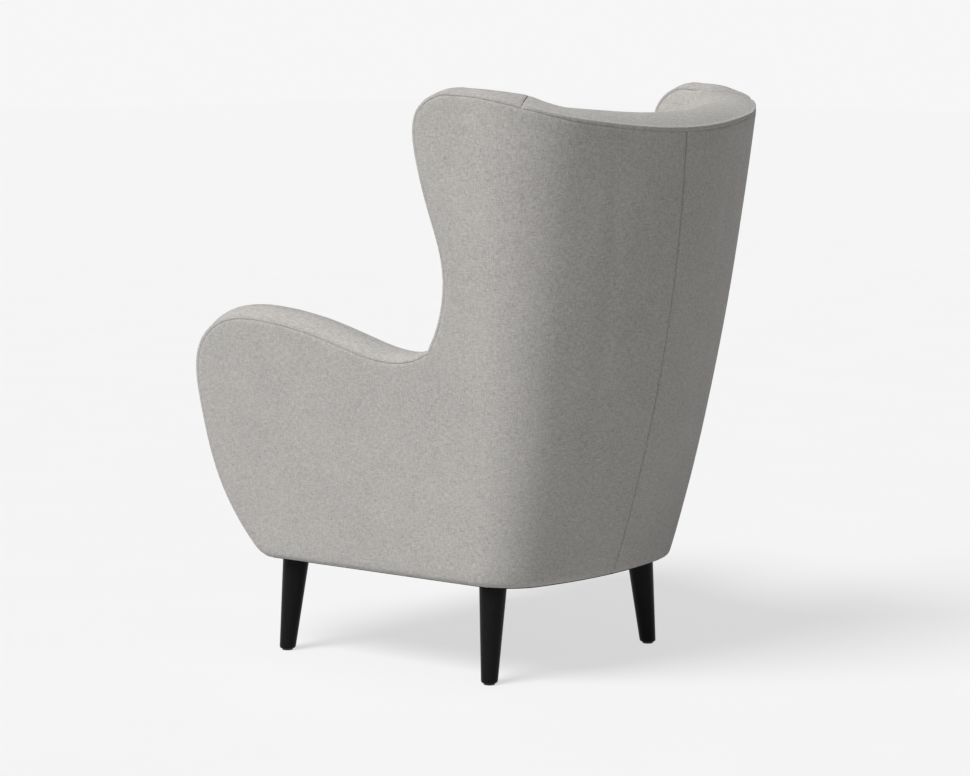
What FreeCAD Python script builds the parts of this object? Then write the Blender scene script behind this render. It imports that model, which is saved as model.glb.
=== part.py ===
import FreeCAD, Part
import math
import os
from FreeCAD import Vector

# Wingback armchair, in millimetres. X runs across the chair and +X is the sitter's left.
# The sitter faces -Y and Z is up. While modelling, y = 0 lies midway between the front and
# rear feet. At the end the whole chair moves so that its origin lies on the floor under the
# middle of its box.

# Heights above the floor
body_bottom = 178.0
plan_top = 1000.0
front_rail_top = 285.0
seat_tilt = 2.5
arm_nose_height = 455.0
arm_crest_height = 631.0
arm_dip_height = 574.0
junction_height = 596.0
wing_neck_height = 747.0
wing_tip_height = 930.0
ear_height = 1041.0
back_top_height = 978.0

# Horseshoe plan of the outside at the bottom, half way up and at the top of the body. Half
# way up it swells by the bow past a straight line from the bottom to the top.
half_width_bottom = 279.3
half_width_bow = 7.5
half_width_top = 385.3
back_reach_bottom = 328.9
back_reach_bow = 33.85
back_reach_top = 488.6
back_radius_bottom = 674.6
back_radius_middle = 500.5
back_radius_top = 715.0
corner_radius_bottom = 104.9
corner_radius_middle = 137.9
corner_radius_top = 166.9
side_splay = 8.32

# Reach of the side outline from the middle between the feet, forwards is negative
arm_foot_reach = -251.0
arm_nose_reach = -354.0
arm_crest_reach = -205.0
arm_dip_reach = 111.0
junction_reach = 172.0
wing_neck_reach = 219.0
wing_tip_reach = 182.0
ear_peak_reach = 266.0

# Upholstery
cover_thickness = 6.0
arm_thickness = 100.0
wing_thickness = 70.0
back_thickness_seat = 150.0
back_thickness_top = 100.0
inside_back_radius = 480.0
arm_crown = 10.0
ear_crown = 9.0
back_crown = 24.0
back_band_lean = 8.0
ear_seam_angle = 56.0
seam_gap = 0.8
piece_gap = 0.4
chord_error = 0.35
back_stations = 19
deck_thickness = 36.0
border_setback = 8.0
cushion_border = 104.0
cushion_crown = 20.0
cushion_roll = 12.0
cushion_waist = 3.0
cushion_front_setback = 36.0
cushion_corner_radius = 45.0
cushion_clearance = 6.0

# Timber, plywood and webbing
panel_inset = 13.0
panel_thickness = 18.0
rail_thickness = 25.0
rear_rail_inset = 14.0
frame_back_radius = 400.0
post_width = 36.0
post_thickness = 30.0
post_reach_low = 262.0
post_reach_high = 355.0
panel_past_post_front = 4.0
lower_back_rail_height = 345.0
middle_back_rail_height = 620.0
back_rail_width = 55.0
crest_rail_height = 925.0
front_rail_face = -236.0
block_length = 84.0
block_height = 70.0
webbing_width = 52.0
webbing_thickness = 1.6
seat_straps_along = 5
seat_straps_across = 4
back_straps = 4
dust_cover_thickness = 1.2

# Legs and their hardware
leg_top_diameter = 50.0
leg_foot_diameter = 30.0
front_foot_x = 280.0
rear_foot_x = 220.3
foot_y = 229.7
leg_splay_x = 18.0
leg_splay_y = 7.5
glide_diameter = 20.0
glide_height = 3.0
bolt_diameter = 8.0
bolt_in_leg = 35.0
bolt_in_block = 26.0
insert_diameter = 14.0
insert_length = 20.0
bore_clearance = 0.15

splay = math.radians(side_splay)
side_end_angle = math.pi / 2 - splay
tilt = math.radians(seat_tilt)
ear_seam = math.radians(ear_seam_angle)
half_width_middle = (half_width_bottom + half_width_top) / 2 + half_width_bow
back_reach_middle = (back_reach_bottom + back_reach_top) / 2 + back_reach_bow
# Room round the finished shapes for the blanks that they are cut from
blank_margin = 110.0
blank_over = 34.0
front_limit = arm_nose_reach - blank_margin
rear_limit = back_reach_top + blank_margin
wide_limit = half_width_top + blank_margin
blank_bottom = body_bottom - blank_over
blank_top = max(ear_height, back_top_height) + blank_over
# Depth from the outside to the back face of the padding, at the sides and behind
side_frame_depth = panel_inset + panel_thickness + piece_gap
back_frame_depth = rear_rail_inset + rail_thickness + webbing_thickness + 4 * piece_gap
# Room for the webbing, in both directions, on top of the seat rails
webbing_room = 2 * webbing_thickness + 2 * piece_gap


def share(z):
    """How far up the body the height z lies, 0 at its bottom and 1 at the top of the plan."""
    return (z - body_bottom) / (plan_top - body_bottom)


def through_three(low, middle, high, z):
    """Value at height z of the parabola with these values at the bottom, middle and top."""
    t = share(z)
    return low * (1 - t) * (1 - 2 * t) + 4 * middle * t * (1 - t) + high * t * (2 * t - 1)


def levels(low, high, count):
    return [low + (high - low) * i / (count - 1) for i in range(count)]


class Plan:
    """Rounded horseshoe at one height, open towards the front.

    Each half is half of the back arc, a corner arc and a straight side that splays outwards
    towards the front. The half width is taken at y = 0 and the reach in the middle.
    """

    def __init__(self, z, half_width, reach, back_radius, corner_radius):
        self.z = z
        self.half_width = half_width
        self.reach = reach
        self.back_radius = back_radius
        self.corner_radius = corner_radius
        self.back_centre = reach - back_radius
        swing = back_radius - corner_radius
        spare = half_width * math.cos(splay) - corner_radius
        self.back_angle = math.asin((spare - self.back_centre * math.sin(splay)) / swing) - splay
        self.corner_x = swing * math.sin(self.back_angle)
        self.corner_y = self.back_centre + swing * math.cos(self.back_angle)

    def on_corner(self, angle):
        """Point of the corner arc, with the angle measured from straight behind."""
        return (self.corner_x + self.corner_radius * math.sin(angle),
                self.corner_y + self.corner_radius * math.cos(angle))

    def on_back(self, angle):
        return (self.back_radius * math.sin(angle),
                self.back_centre + self.back_radius * math.cos(angle))

    def side_x(self, y):
        """Half width of the straight side at y."""
        return self.half_width - y * math.tan(splay)

    def half_width_at(self, y):
        if y <= self.on_corner(side_end_angle)[1]:
            return self.side_x(y)
        if y <= self.on_corner(self.back_angle)[1]:
            return self.corner_x + math.sqrt(self.corner_radius ** 2 - (y - self.corner_y) ** 2)
        return math.sqrt(max(self.back_radius ** 2 - (y - self.back_centre) ** 2, 0.0))

    def half(self, front, corner_steps, back_steps):
        """Points of one half from its front end round to the middle of the back."""
        corner = [self.on_corner(angle)
                  for angle in levels(side_end_angle, self.back_angle, corner_steps + 1)]
        back = [self.on_back(angle) for angle in levels(self.back_angle, 0, back_steps + 1)]
        return [(self.side_x(front), front)] + corner + back[1:]

    def wire(self, front, corner_arcs=4, back_arcs=2):
        """Closed outline of lines and arcs."""
        half = self.half(front, 2 * corner_arcs, 2 * back_arcs)
        points = [Vector(x, y, self.z) for x, y in half]
        points += [Vector(-x, y, self.z) for x, y in reversed(half[:-1])]
        curves = [Part.LineSegment(points[-1], points[0]),
                  Part.LineSegment(points[0], points[1])]
        for i in range(1, len(points) - 2, 2):
            curves.append(Part.Arc(points[i], points[i + 1], points[i + 2]))
        curves.append(Part.LineSegment(points[-2], points[-1]))
        return Part.Wire([curve.toShape() for curve in curves])

    def chords(self, front):
        """Closed outline of straight chords inside the arcs."""
        half = self.half(front, 4, 3)
        points = half + [(-x, y) for x, y in reversed(half[:-1])] + half[:1]
        return Part.makePolygon([Vector(x, y, self.z) for x, y in points])


def outside_plan(z, depth=0.0):
    """Plan of the outside of the chair, or of a surface that lies a depth inside it."""
    half = through_three(half_width_bottom, half_width_middle, half_width_top, z)
    reach = through_three(back_reach_bottom, back_reach_middle, back_reach_top, z)
    curve = through_three(1 / back_radius_bottom, 1 / back_radius_middle,
                          1 / back_radius_top, z)
    corner = through_three(corner_radius_bottom, corner_radius_middle, corner_radius_top, z)
    return Plan(z, half - depth / math.cos(splay), reach - depth, 1 / curve - depth,
                corner - depth)


def flat_sided(low, high):
    """Solid with flat faces between a lower and an upper outline."""
    faces = [Part.Face(Part.makePolygon(low + low[:1])),
             Part.Face(Part.makePolygon(high + high[:1]))]
    for i in range(len(low)):
        j = (i + 1) % len(low)
        faces.append(Part.Face(Part.makePolygon([low[i], low[j], high[j], high[i], low[i]])))
    solid = Part.Solid(Part.Shell(faces))
    if solid.Volume < 0:
        solid.reverse()
    return solid


class Room:
    """Space with flat leaning sides and a round leaning back.

    Its side and back depths are taken from the outside of the chair at the height of the
    seat rails and at the top of the plan, and it runs straight between them.
    """

    def __init__(self, sides, backs, radius, grow=0.0):
        low = outside_plan(front_rail_top)
        high = outside_plan(plan_top)
        self.radius = radius + grow
        self.half_width = low.half_width - (sides[0] - grow) / math.cos(splay)
        self.reach = low.reach - backs[0] + grow
        rise = plan_top - front_rail_top
        top_half_width = high.half_width - (sides[1] - grow) / math.cos(splay)
        top_reach = high.reach - backs[1] + grow
        self.side_slope = (top_half_width - self.half_width) / rise
        self.back_slope = (top_reach - self.reach) / rise
        self.depth = self.radius * math.sqrt(1 + self.back_slope ** 2)

    def side_x(self, y, z):
        return self.half_width + self.side_slope * (z - front_rail_top) - y * math.tan(splay)

    def reach_at(self, z):
        return self.reach + self.back_slope * (z - front_rail_top)

    def back_y(self, x, z):
        return self.reach_at(z) - self.depth * (1 - math.sqrt(1 - (x / self.radius) ** 2))

    def holds(self, point):
        """True where a point behind the middle lies in the room."""
        x = abs(point.x)
        return x < self.side_x(point.y, point.z) and point.y < self.back_y(x, point.z)

    def corner(self, z):
        """Where the side meets the back."""
        x = self.side_x(0, z)
        for _ in range(30):
            x = self.side_x(self.back_y(x, z), z)
        return x, self.back_y(x, z)

    def solid(self, low=blank_bottom, high=blank_top, front=front_limit):
        ends = []
        for z in (low, high):
            near = self.side_x(front, z)
            far = self.side_x(rear_limit, z)
            ends.append([Vector(-near, front, z), Vector(near, front, z),
                         Vector(far, rear_limit, z), Vector(-far, rear_limit, z)])
        lean = Vector(0, self.back_slope, 1)
        start = Vector(0, self.reach_at(low) - self.depth, low) - lean * blank_margin
        length = (high - low + 2 * blank_margin) * lean.Length
        barrel = Part.makeCylinder(self.radius, length, start, lean)
        axis_end = self.reach_at(high) - self.depth
        behind = box(-wide_limit, wide_limit, axis_end, rear_limit + 1, low - 1, high + 1)
        return flat_sided(*ends).cut(behind.cut(barrel))


def inside_room(grow=0.0):
    """Space between the inside faces of the arms, wings and back."""
    return Room((arm_thickness, wing_thickness), (back_thickness_seat, back_thickness_top),
                inside_back_radius, grow)


def frame_room(grow=0.0):
    """Space inside the frame, which the padding lines."""
    return Room((side_frame_depth, side_frame_depth), (back_frame_depth, back_frame_depth),
                frame_back_radius, grow)


def core(depth):
    """Solid of flat facets a depth or a little more inside the outside of the chair."""
    sections = [outside_plan(z, depth).chords(front_limit - 20)
                for z in levels(blank_bottom, blank_top + 20, 4)]
    return Part.makeLoft(sections, True, True)


def box(x0, x1, y0, y1, z0, z1):
    return Part.makeBox(x1 - x0, y1 - y0, z1 - z0, Vector(x0, y0, z0))


def prism_yz(points, x0=None, x1=None):
    """Solid with straight edges through (y, z) points, run across the chair."""
    x0 = -wide_limit if x0 is None else x0
    x1 = wide_limit if x1 is None else x1
    corners = [Vector(x0, y, z) for y, z in points]
    face = Part.Face(Part.makePolygon(corners + corners[:1]))
    return face.extrude(Vector(x1 - x0, 0, 0))


def mirrored(shape):
    return shape.mirror(Vector(0, 0, 0), Vector(1, 0, 0))


def solids_of(shape):
    """The shape's solids alone, largest first."""
    found = sorted(shape.Solids, key=lambda solid: -solid.Volume)
    return found


def main_solid(shape):
    return solids_of(shape)[0]


# Side outline of the arms and wings, seen along X

def seam_drop_height(y):
    """Height of the outer seam behind the ear's peak, where it falls to the middle of the back."""
    along = (y - ear_peak_reach) / (back_reach_top - ear_peak_reach)
    return ear_height - (ear_height - back_top_height) * along ** 2


def arm_curve():
    """Edge of the arm from below its foot, round the nose and over the top to the wing."""
    foot_drop = 60.0
    rise = arm_nose_height - body_bottom
    radius = arm_front_radius()
    below = math.sqrt(radius ** 2 - (rise + foot_drop) ** 2)
    shoulder = arm_crest_height - arm_nose_height
    points = [(arm_nose_reach + radius - below, body_bottom - foot_drop),
              (arm_foot_reach, body_bottom),
              (arm_nose_reach + radius - math.sqrt(radius ** 2 - (rise / 2) ** 2),
               arm_nose_height - rise / 2),
              (arm_nose_reach, arm_nose_height),
              (arm_nose_reach + 0.10 * (arm_crest_reach - arm_nose_reach),
               arm_nose_height + 0.70 * shoulder),
              (arm_nose_reach + 0.50 * (arm_crest_reach - arm_nose_reach),
               arm_nose_height + 0.96 * shoulder),
              (arm_crest_reach, arm_crest_height),
              ((arm_crest_reach + arm_dip_reach) / 2, (arm_crest_height + arm_dip_height) / 2),
              (arm_dip_reach, arm_dip_height),
              (junction_reach, junction_height)]
    return smooth_curve(points)


def wing_curve():
    """Edge of the wing from the arm, up its front and over the ear to the ear's peak."""
    tip_rise = ear_height - wing_tip_height
    ear_run = ear_peak_reach - wing_tip_reach
    points = [(junction_reach, junction_height),
              (junction_reach + 0.83 * (wing_neck_reach - junction_reach),
               junction_height + 0.55 * (wing_neck_height - junction_height)),
              (wing_neck_reach, wing_neck_height),
              ((wing_neck_reach + wing_tip_reach) / 2,
               (wing_neck_height + wing_tip_height) / 2),
              (wing_tip_reach, wing_tip_height),
              (wing_tip_reach + 0.107 * ear_run, wing_tip_height + 0.748 * tip_rise),
              (wing_tip_reach + 0.536 * ear_run, wing_tip_height + 0.973 * tip_rise),
              (ear_peak_reach, ear_height)]
    return smooth_curve(points)


def smooth_curve(points):
    curve = Part.BSplineCurve()
    curve.interpolate([Vector(0, y, z) for y, z in points])
    return curve


def curve_stations(curve):
    """Points and outward normals, close enough that the chords keep to the curve."""
    length = curve.length()
    distances = [0.0]
    while distances[-1] < length or len(distances) % 2 == 0:
        parameter = curve.parameterAtDistance(min(distances[-1], length), curve.FirstParameter)
        bend = max(curve.curvature(parameter), 1e-4)
        distances.append(distances[-1] + min(math.sqrt(8 * chord_error / bend), 70.0))
    stretch = length / distances[-1]
    found = []
    for distance in distances:
        parameter = curve.parameterAtDistance(distance * stretch, curve.FirstParameter)
        along = curve.tangent(parameter)[0]
        found.append((curve.value(parameter), Vector(0, -along.z, along.y), along))
    return found


def arc_chain(curve):
    """Arcs one after another through the stations of a curve."""
    points = [point for point, normal, along in curve_stations(curve)]
    return [Part.Arc(points[i], points[i + 1], points[i + 2]).toShape()
            for i in range(0, len(points) - 2, 2)]


def side_outline_solid():
    """All that lies behind and below the edge of the arms and wings."""
    arm = arm_curve()
    start = arm.value(arm.FirstParameter)
    corners = [Vector(0, ear_peak_reach, ear_height), Vector(0, rear_limit, ear_height),
               Vector(0, rear_limit, start.z), start]
    edges = arc_chain(arm) + arc_chain(wing_curve())
    for first, second in zip(corners, corners[1:]):
        edges.append(Part.LineSegment(first, second).toShape())
    face = Part.Face(Part.Wire(edges))
    face.translate(Vector(-wide_limit, 0, 0))
    return face.extrude(Vector(2 * wide_limit, 0, 0))


# The rim: lines across the thickness of the wall, from the outer to the inner seam

def seam_point(angle):
    """Outer seam at an angle round the back, from the middle of the back outwards."""
    z = back_top_height
    for _ in range(6):
        plan = outside_plan(z)
        if abs(angle) <= plan.back_angle:
            x, y = plan.on_back(angle)
        else:
            x, y = plan.on_corner(abs(angle))
            x = math.copysign(x, angle)
        z = seam_drop_height(y)
    return Vector(x, y, z)


def radial_line(angle):
    """Outer and inner end of the ear's rim line, on the height of the side outline."""
    outer = seam_point(angle)
    inward = Vector(-math.sin(angle), -math.cos(angle), 0)
    room = inside_room()
    near = 0.0
    far = 2.0 * max(arm_thickness, back_thickness_seat)
    for _ in range(40):
        middle = (near + far) / 2
        if room.holds(outer + inward * middle):
            far = middle
        else:
            near = middle
    inner = outer + inward * far
    inner.z = seam_drop_height(inner.y)
    return outer, inner


def back_rim_line(angle):
    """Outer and inner end of the rim line across the back, which is nearly level."""
    outer, inner = radial_line(angle)
    seam_outer, seam_inner = radial_line(ear_seam)
    ear_rise = seam_inner.z - seam_outer.z
    inner.z = outer.z + back_band_lean + (ear_rise - back_band_lean) * (angle / ear_seam) ** 2
    return outer, inner


def back_rim_normal(angle):
    step = math.radians(1.0)
    ahead_outer, ahead_inner = back_rim_line(angle + step)
    behind_outer, behind_inner = back_rim_line(angle - step)
    outer, inner = back_rim_line(angle)
    along = (ahead_outer + ahead_inner) - (behind_outer + behind_inner)
    normal = (inner - outer).cross(along)
    normal.normalize()
    return normal if normal.z > 0 else normal * -1


def ear_rim():
    """Rim lines and normals from the ear's peak round to its seam with the back."""
    start = seam_point(side_end_angle)
    lines = []
    for y in levels(ear_peak_reach, start.y, 3)[:-1]:
        slope = (seam_drop_height(y + 1) - seam_drop_height(y - 1)) / 2
        normal = Vector(0, -slope if y > ear_peak_reach else 0, 1).normalize()
        lines.append((side_rim_line(y, seam_drop_height(y)), normal))
    for angle in levels(side_end_angle, ear_seam, 4):
        lines.append((radial_line(angle), back_rim_normal(angle)))
    return lines


def back_rim(shift=0.0):
    """Rim lines, normals and shares of the way out from one back seam to the other."""
    found = []
    for angle in levels(-ear_seam + shift, ear_seam - shift, back_stations):
        found.append((back_rim_line(angle), back_rim_normal(angle), abs(angle) / ear_seam))
    return found


def mirror_line(line):
    return [Vector(-point.x, point.y, point.z) for point in line]


def rim_space():
    """What lies above the rim behind the peaks of the ears, as a solid to cut with."""
    over = 25.0
    lift = Vector(0, 0, 160.0)
    ear = [line for line, normal in ear_rim()]
    back = [line for line, normal, outwards in back_rim()]
    sections = []
    for outer, inner in [mirror_line(line) for line in ear[:-1]] + back + ear[-2::-1]:
        across = (outer - inner).normalize()
        first = outer + across * over
        second = inner - across * over
        corners = [first, second, second + lift, first + lift, first]
        sections.append(Part.makePolygon(corners))
    return Part.makeLoft(sections, True, True)


def crowned_section(outer, inner, normal, crown):
    """Closed section of a band: a flat base across the wall and a crowned top."""
    low = outer + normal * seam_gap
    high = inner + normal * seam_gap
    top = (low + high) * 0.5 + normal * crown
    base = Part.LineSegment(high, low).toShape()
    arch = Part.Arc(low, top, high).toShape()
    return Part.Wire([arch, base])


def side_rim_line(y, z):
    """Outer and inner end of a rim line that runs straight across the arm or wing."""
    outer = Vector(outside_plan(z).half_width_at(y), y, z)
    inner = Vector(inside_room().side_x(y, z), y, z)
    return outer, inner


def junction_normal(arm, wing):
    normal = arm[-1][1] + wing[0][1]
    normal.normalize()
    return normal


def arm_band():
    """Crowned border over the left arm, from the underside to the wing."""
    arm = curve_stations(arm_curve())
    wing = curve_stations(wing_curve())
    sections = []
    for index, (point, normal, along) in enumerate(arm):
        if index == len(arm) - 1:
            normal = junction_normal(arm, wing)
            point = point - along * piece_gap
        outer, inner = side_rim_line(point.y, point.z)
        sections.append(crowned_section(outer, inner, normal, arm_crown))
    band = Part.makeLoft(sections, True, True)
    under = box(-wide_limit, wide_limit, front_limit, rear_limit, blank_bottom - 200, body_bottom)
    return main_solid(band.cut(under))


def wing_band():
    """Crowned border up the left wing and over the ear, to the seam at the back."""
    arm = curve_stations(arm_curve())
    wing = curve_stations(wing_curve())
    sections = []
    for index, (point, normal, along) in enumerate(wing):
        if index == 0:
            normal = junction_normal(arm, wing)
            point = point + along * piece_gap
        crown = arm_crown + (ear_crown - arm_crown) * index / (len(wing) - 1)
        outer, inner = side_rim_line(point.y, point.z)
        sections.append(crowned_section(outer, inner, normal, crown))
    ear = ear_rim()[1:]
    for (outer, inner), normal in ear[:-1]:
        sections.append(crowned_section(outer, inner, normal, ear_crown))
    seam = ear_seam + piece_gap / corner_radius_top
    sections.append(crowned_section(*radial_line(seam), ear[-1][1], ear_crown))
    return Part.makeLoft(sections, True, True)


def top_band():
    """Crowned border across the back, highest in its middle."""
    sections = []
    for (outer, inner), normal, outwards in back_rim(piece_gap / corner_radius_top):
        crown = back_crown + (ear_crown - back_crown) * outwards ** 2
        sections.append(crowned_section(outer, inner, normal, crown))
    return Part.makeLoft(sections, True, True)


# Zones that share the wall out between its pieces

def seat_plane(y):
    """Height of the tilted plane on top of the seat rails."""
    return front_rail_top - (y - front_rail_face) * math.tan(tilt)


def below_seat_plane(lift=0.0, front=front_limit):
    floor = body_bottom - 200
    return prism_yz([(front, floor), (rear_limit, floor),
                     (rear_limit, seat_plane(rear_limit) + lift),
                     (front, seat_plane(front) + lift)])


def back_zone(shift):
    """All between the two seams that part the back from the arms and wings."""
    slant = math.cos(ear_seam) / math.sin(ear_seam)
    seam_outer = seam_point(ear_seam)
    corner_x, corner_y = inside_room().corner(front_rail_top)
    start_high = seam_outer.y - seam_outer.x * slant
    start_low = corner_y - corner_x * slant
    lean = (start_high - start_low) / (seam_outer.z - front_rail_top)
    ends = []
    for z in (blank_bottom - 30, blank_top + 50):
        start = start_low + lean * (z - front_rail_top) + shift / math.sin(ear_seam)
        edge = start + wide_limit * slant
        ends.append([Vector(0, start, z), Vector(wide_limit, edge, z),
                     Vector(wide_limit, rear_limit + 300, z),
                     Vector(-wide_limit, rear_limit + 300, z), Vector(-wide_limit, edge, z)])
    return flat_sided(*ends)


# Upholstery pieces

def outside_cover(outline, above_rim):
    """Left half of the outside, which meets the right half down the middle of the back."""
    plans = [outside_plan(z).wire(front_limit) for z in levels(body_bottom, blank_top, 6)]
    shell = Part.makeLoft(plans, True, True).cut(core(cover_thickness))
    half = box(piece_gap / 2, wide_limit, front_limit, rear_limit, body_bottom, blank_top)
    return main_solid(shell.common(half).common(outline).cut(above_rim))


def side_pads(wall, outline, above_rim):
    """Left arm pad and left wing pad, one above the other."""
    half = box(piece_gap, wide_limit, front_limit - 50, rear_limit, body_bottom, blank_top)
    side = wall.common(half).cut(back_zone(-piece_gap / 2)).common(outline).cut(above_rim)
    side = side.cut(below_seat_plane(webbing_room, front_rail_face - piece_gap))
    front = junction_reach - 40
    wing_box = box(0, wide_limit, front, rear_limit, junction_height, blank_top)
    arm_top = box(0, wide_limit, front, rear_limit, junction_height - piece_gap, blank_top)
    return main_solid(side.cut(arm_top)), main_solid(side.common(wing_box))


def back_pad(wall, above_rim):
    pad = wall.common(back_zone(piece_gap / 2)).cut(above_rim)
    return main_solid(pad.cut(below_seat_plane(webbing_room)))


def deck_height(y):
    return seat_plane(y) + webbing_room + deck_thickness


def seat_deck():
    """Foam platform on the webbing, between the arms and the back."""
    slab = prism_yz([(front_rail_face, seat_plane(front_rail_face) + webbing_room),
                     (rear_limit, seat_plane(rear_limit) + webbing_room),
                     (rear_limit, deck_height(rear_limit)),
                     (front_rail_face, deck_height(front_rail_face))])
    return main_solid(inside_room(-piece_gap).solid().common(slab))


def arm_front_reach(z):
    """Reach of the arm's front edge at a height below its nose."""
    rise = arm_nose_height - z
    return arm_nose_reach + arm_front_radius() - math.sqrt(arm_front_radius() ** 2 - rise ** 2)


def arm_front_radius():
    """Radius of the arm's front edge, upright at the nose and through the foot."""
    rise = arm_nose_height - body_bottom
    run = arm_foot_reach - arm_nose_reach
    return (rise ** 2 + run ** 2) / (2 * run)


def front_border():
    """Padded border below the cushion, between the arms."""
    rise = deck_height(front_rail_face) - body_bottom
    heights = (body_bottom, body_bottom + rise / 2, body_bottom + rise)
    front = [Vector(-wide_limit, arm_front_reach(z) + border_setback, z) for z in heights]
    back_y = front_rail_face - piece_gap
    high = Vector(-wide_limit, back_y, heights[2])
    low = Vector(-wide_limit, back_y, heights[0])
    edges = [Part.Arc(front[0], front[1], front[2]).toShape(),
             Part.LineSegment(front[2], high).toShape(),
             Part.LineSegment(high, low).toShape(),
             Part.LineSegment(low, front[0]).toShape()]
    face = Part.Face(Part.Wire(edges))
    room = inside_room(-piece_gap).solid()
    return main_solid(face.extrude(Vector(2 * wide_limit, 0, 0)).common(room))


def seat_cushion():
    """Loose boxed cushion with a crowned top and drawn-in sides."""
    base = deck_height(front_rail_face) + piece_gap
    front = arm_nose_reach + cushion_front_setback
    seam = base + cushion_border
    room = inside_room(-cushion_clearance)
    drop = (room.reach_at(base) - front_rail_face) * math.tan(tilt)

    def outline(z, inset):
        level = min(z, seam) - drop
        lean = (min(z, seam) - base) * math.tan(tilt)
        plan = Plan(z, room.side_x(0, level) - inset, room.reach_at(level) - lean - inset,
                    room.radius - inset, cushion_corner_radius)
        return plan.wire(front + inset, 1, 1)

    sections = [outline(base, cushion_roll / 2),
                outline(base + cushion_roll, 0),
                outline((base + seam) / 2, cushion_waist),
                outline(seam - cushion_roll, 0),
                outline(seam, cushion_roll / 3),
                outline(seam + cushion_crown * 0.6, cushion_roll * 3),
                outline(seam + cushion_crown, cushion_roll * 9)]
    cushion = Part.makeLoft(sections, True, True)
    cushion.rotate(Vector(0, front_rail_face, deck_height(front_rail_face)), Vector(1, 0, 0),
                   -seat_tilt)
    return cushion


# Frame

def side_slab(depth, thickness, front, rear, low, high):
    """Flat board in the leaning, splayed plane of the left side, between two depths.

    The front and rear limits are given at the heights low and high.
    """
    room = frame_room(side_frame_depth - depth)

    def spot(y, z):
        return Vector(room.side_x(y, z), y, z)

    corners = [spot(front[0], low), spot(rear[0], low), spot(rear[1], high), spot(front[1], high)]
    face = Part.Face(Part.makePolygon(corners + corners[:1]))
    inwards = (corners[1] - corners[0]).cross(corners[3] - corners[0])
    inwards.normalize()
    if inwards.x > 0:
        inwards = inwards * -1
    return face.extrude(inwards * thickness)


def post_line(z):
    """Middle of the back post at a height, as its reach."""
    low = body_bottom + block_height
    up = (z - low) / (ear_height - low)
    return post_reach_low + (post_reach_high - post_reach_low) * up


def panel_rear(z):
    """Rear edge of the plywood sides, just past the front of the post."""
    return post_line(z) - post_width / 2 + panel_past_post_front


def ply_side(low, high, outline, above_rim):
    board = side_slab(panel_inset, panel_thickness, (front_limit, front_limit),
                      (panel_rear(low), panel_rear(high)), low, high)
    return main_solid(board.common(outline).cut(above_rim))


def arm_panel(outline, above_rim):
    """Plywood side of the left arm, cut to the arm's outline."""
    board = ply_side(body_bottom, arm_crest_height + 20, outline, above_rim)
    above = box(0, wide_limit, junction_reach - 40, rear_limit, junction_height - piece_gap / 2,
                blank_top)
    return main_solid(board.cut(above))


def wing_panel(outline, above_rim):
    """Plywood side of the left wing, on top of the arm's panel."""
    return ply_side(junction_height, blank_top, outline, above_rim)


def back_post(grow=0.0):
    """Leaning post in the left rear corner, from the corner block up past the rim."""
    low = body_bottom + block_height
    half = post_width / 2 + grow
    post = side_slab(side_frame_depth - grow, post_thickness + 2 * grow,
                     (post_line(low) - half, post_line(blank_top) - half),
                     (post_line(low) + half, post_line(blank_top) + half), low, blank_top)
    return post


def back_rail(low, high):
    """Curved rail between the back posts, a strap's room behind the padding."""
    near = frame_room(webbing_thickness + 4 * piece_gap)
    far = frame_room(webbing_thickness + 4 * piece_gap + rail_thickness)
    rail = far.solid(low, high, post_line(low)).cut(near.solid(low - 5, high + 5))
    for post in (back_post(piece_gap / 2), mirrored(back_post(piece_gap / 2))):
        rail = rail.cut(post)
    return main_solid(rail.common(core(cover_thickness + piece_gap)))


def rear_seat_rail(half_length):
    """Upright curved rail under the back, between the rear corner blocks."""
    plan = outside_plan(body_bottom, rear_rail_inset)
    centre = Vector(0, plan.back_centre, body_bottom)
    rail = Part.makeCylinder(plan.back_radius, front_rail_top - body_bottom, centre)
    rail = rail.cut(Part.makeCylinder(plan.back_radius - rail_thickness,
                                      front_rail_top - body_bottom, centre))
    return main_solid(rail.common(box(-half_length, half_length, 0, rear_limit, body_bottom,
                                      front_rail_top)).common(below_seat_plane()))


def corner_block(x_inner, front, rear, foot_x, foot_y_top):
    """Corner block that the left rails meet and a leg screws into."""
    top = body_bottom + block_height
    board = side_slab(side_frame_depth - piece_gap / 2, wide_limit, (front, front), (rear, rear),
                      body_bottom, top)
    inner = box(x_inner, wide_limit, front, rear, body_bottom, top)
    block = board.common(inner).common(core(cover_thickness + piece_gap))
    bore = Part.makeCylinder(insert_diameter / 2 + bore_clearance, bolt_in_block + 1 + 10,
                             Vector(foot_x, foot_y_top, body_bottom - 10))
    return main_solid(block.cut(bore))


def leg_top(foot_x, y):
    """Centre of a leg at the underside, from its foot."""
    return foot_x - leg_splay_x, y - math.copysign(leg_splay_y, y)


def leg(foot_x, y):
    """Round tapered leg that splays outwards, cut level at both ends."""
    top_x, top_y = leg_top(foot_x, y)
    foot = Vector(foot_x, y, glide_height)
    axis = Vector(top_x, top_y, body_bottom) - foot
    length = axis.Length
    taper = (leg_top_diameter - leg_foot_diameter) / 2 / length
    over = 30.0
    axis.normalize()
    cone = Part.makeCone(leg_foot_diameter / 2 - taper * over,
                         leg_top_diameter / 2 + taper * over,
                         length + 2 * over, foot - axis * over, axis)
    ends = box(0, wide_limit, -wide_limit, wide_limit, glide_height, body_bottom)
    bore = Part.makeCylinder(bolt_diameter / 2 + bore_clearance, bolt_in_leg + 1 + 5,
                             Vector(top_x, top_y, body_bottom - bolt_in_leg - 1))
    return main_solid(cone.common(ends).cut(bore))


def glide(foot_x, y):
    return Part.makeCylinder(glide_diameter / 2, glide_height, Vector(foot_x, y, 0))


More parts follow.
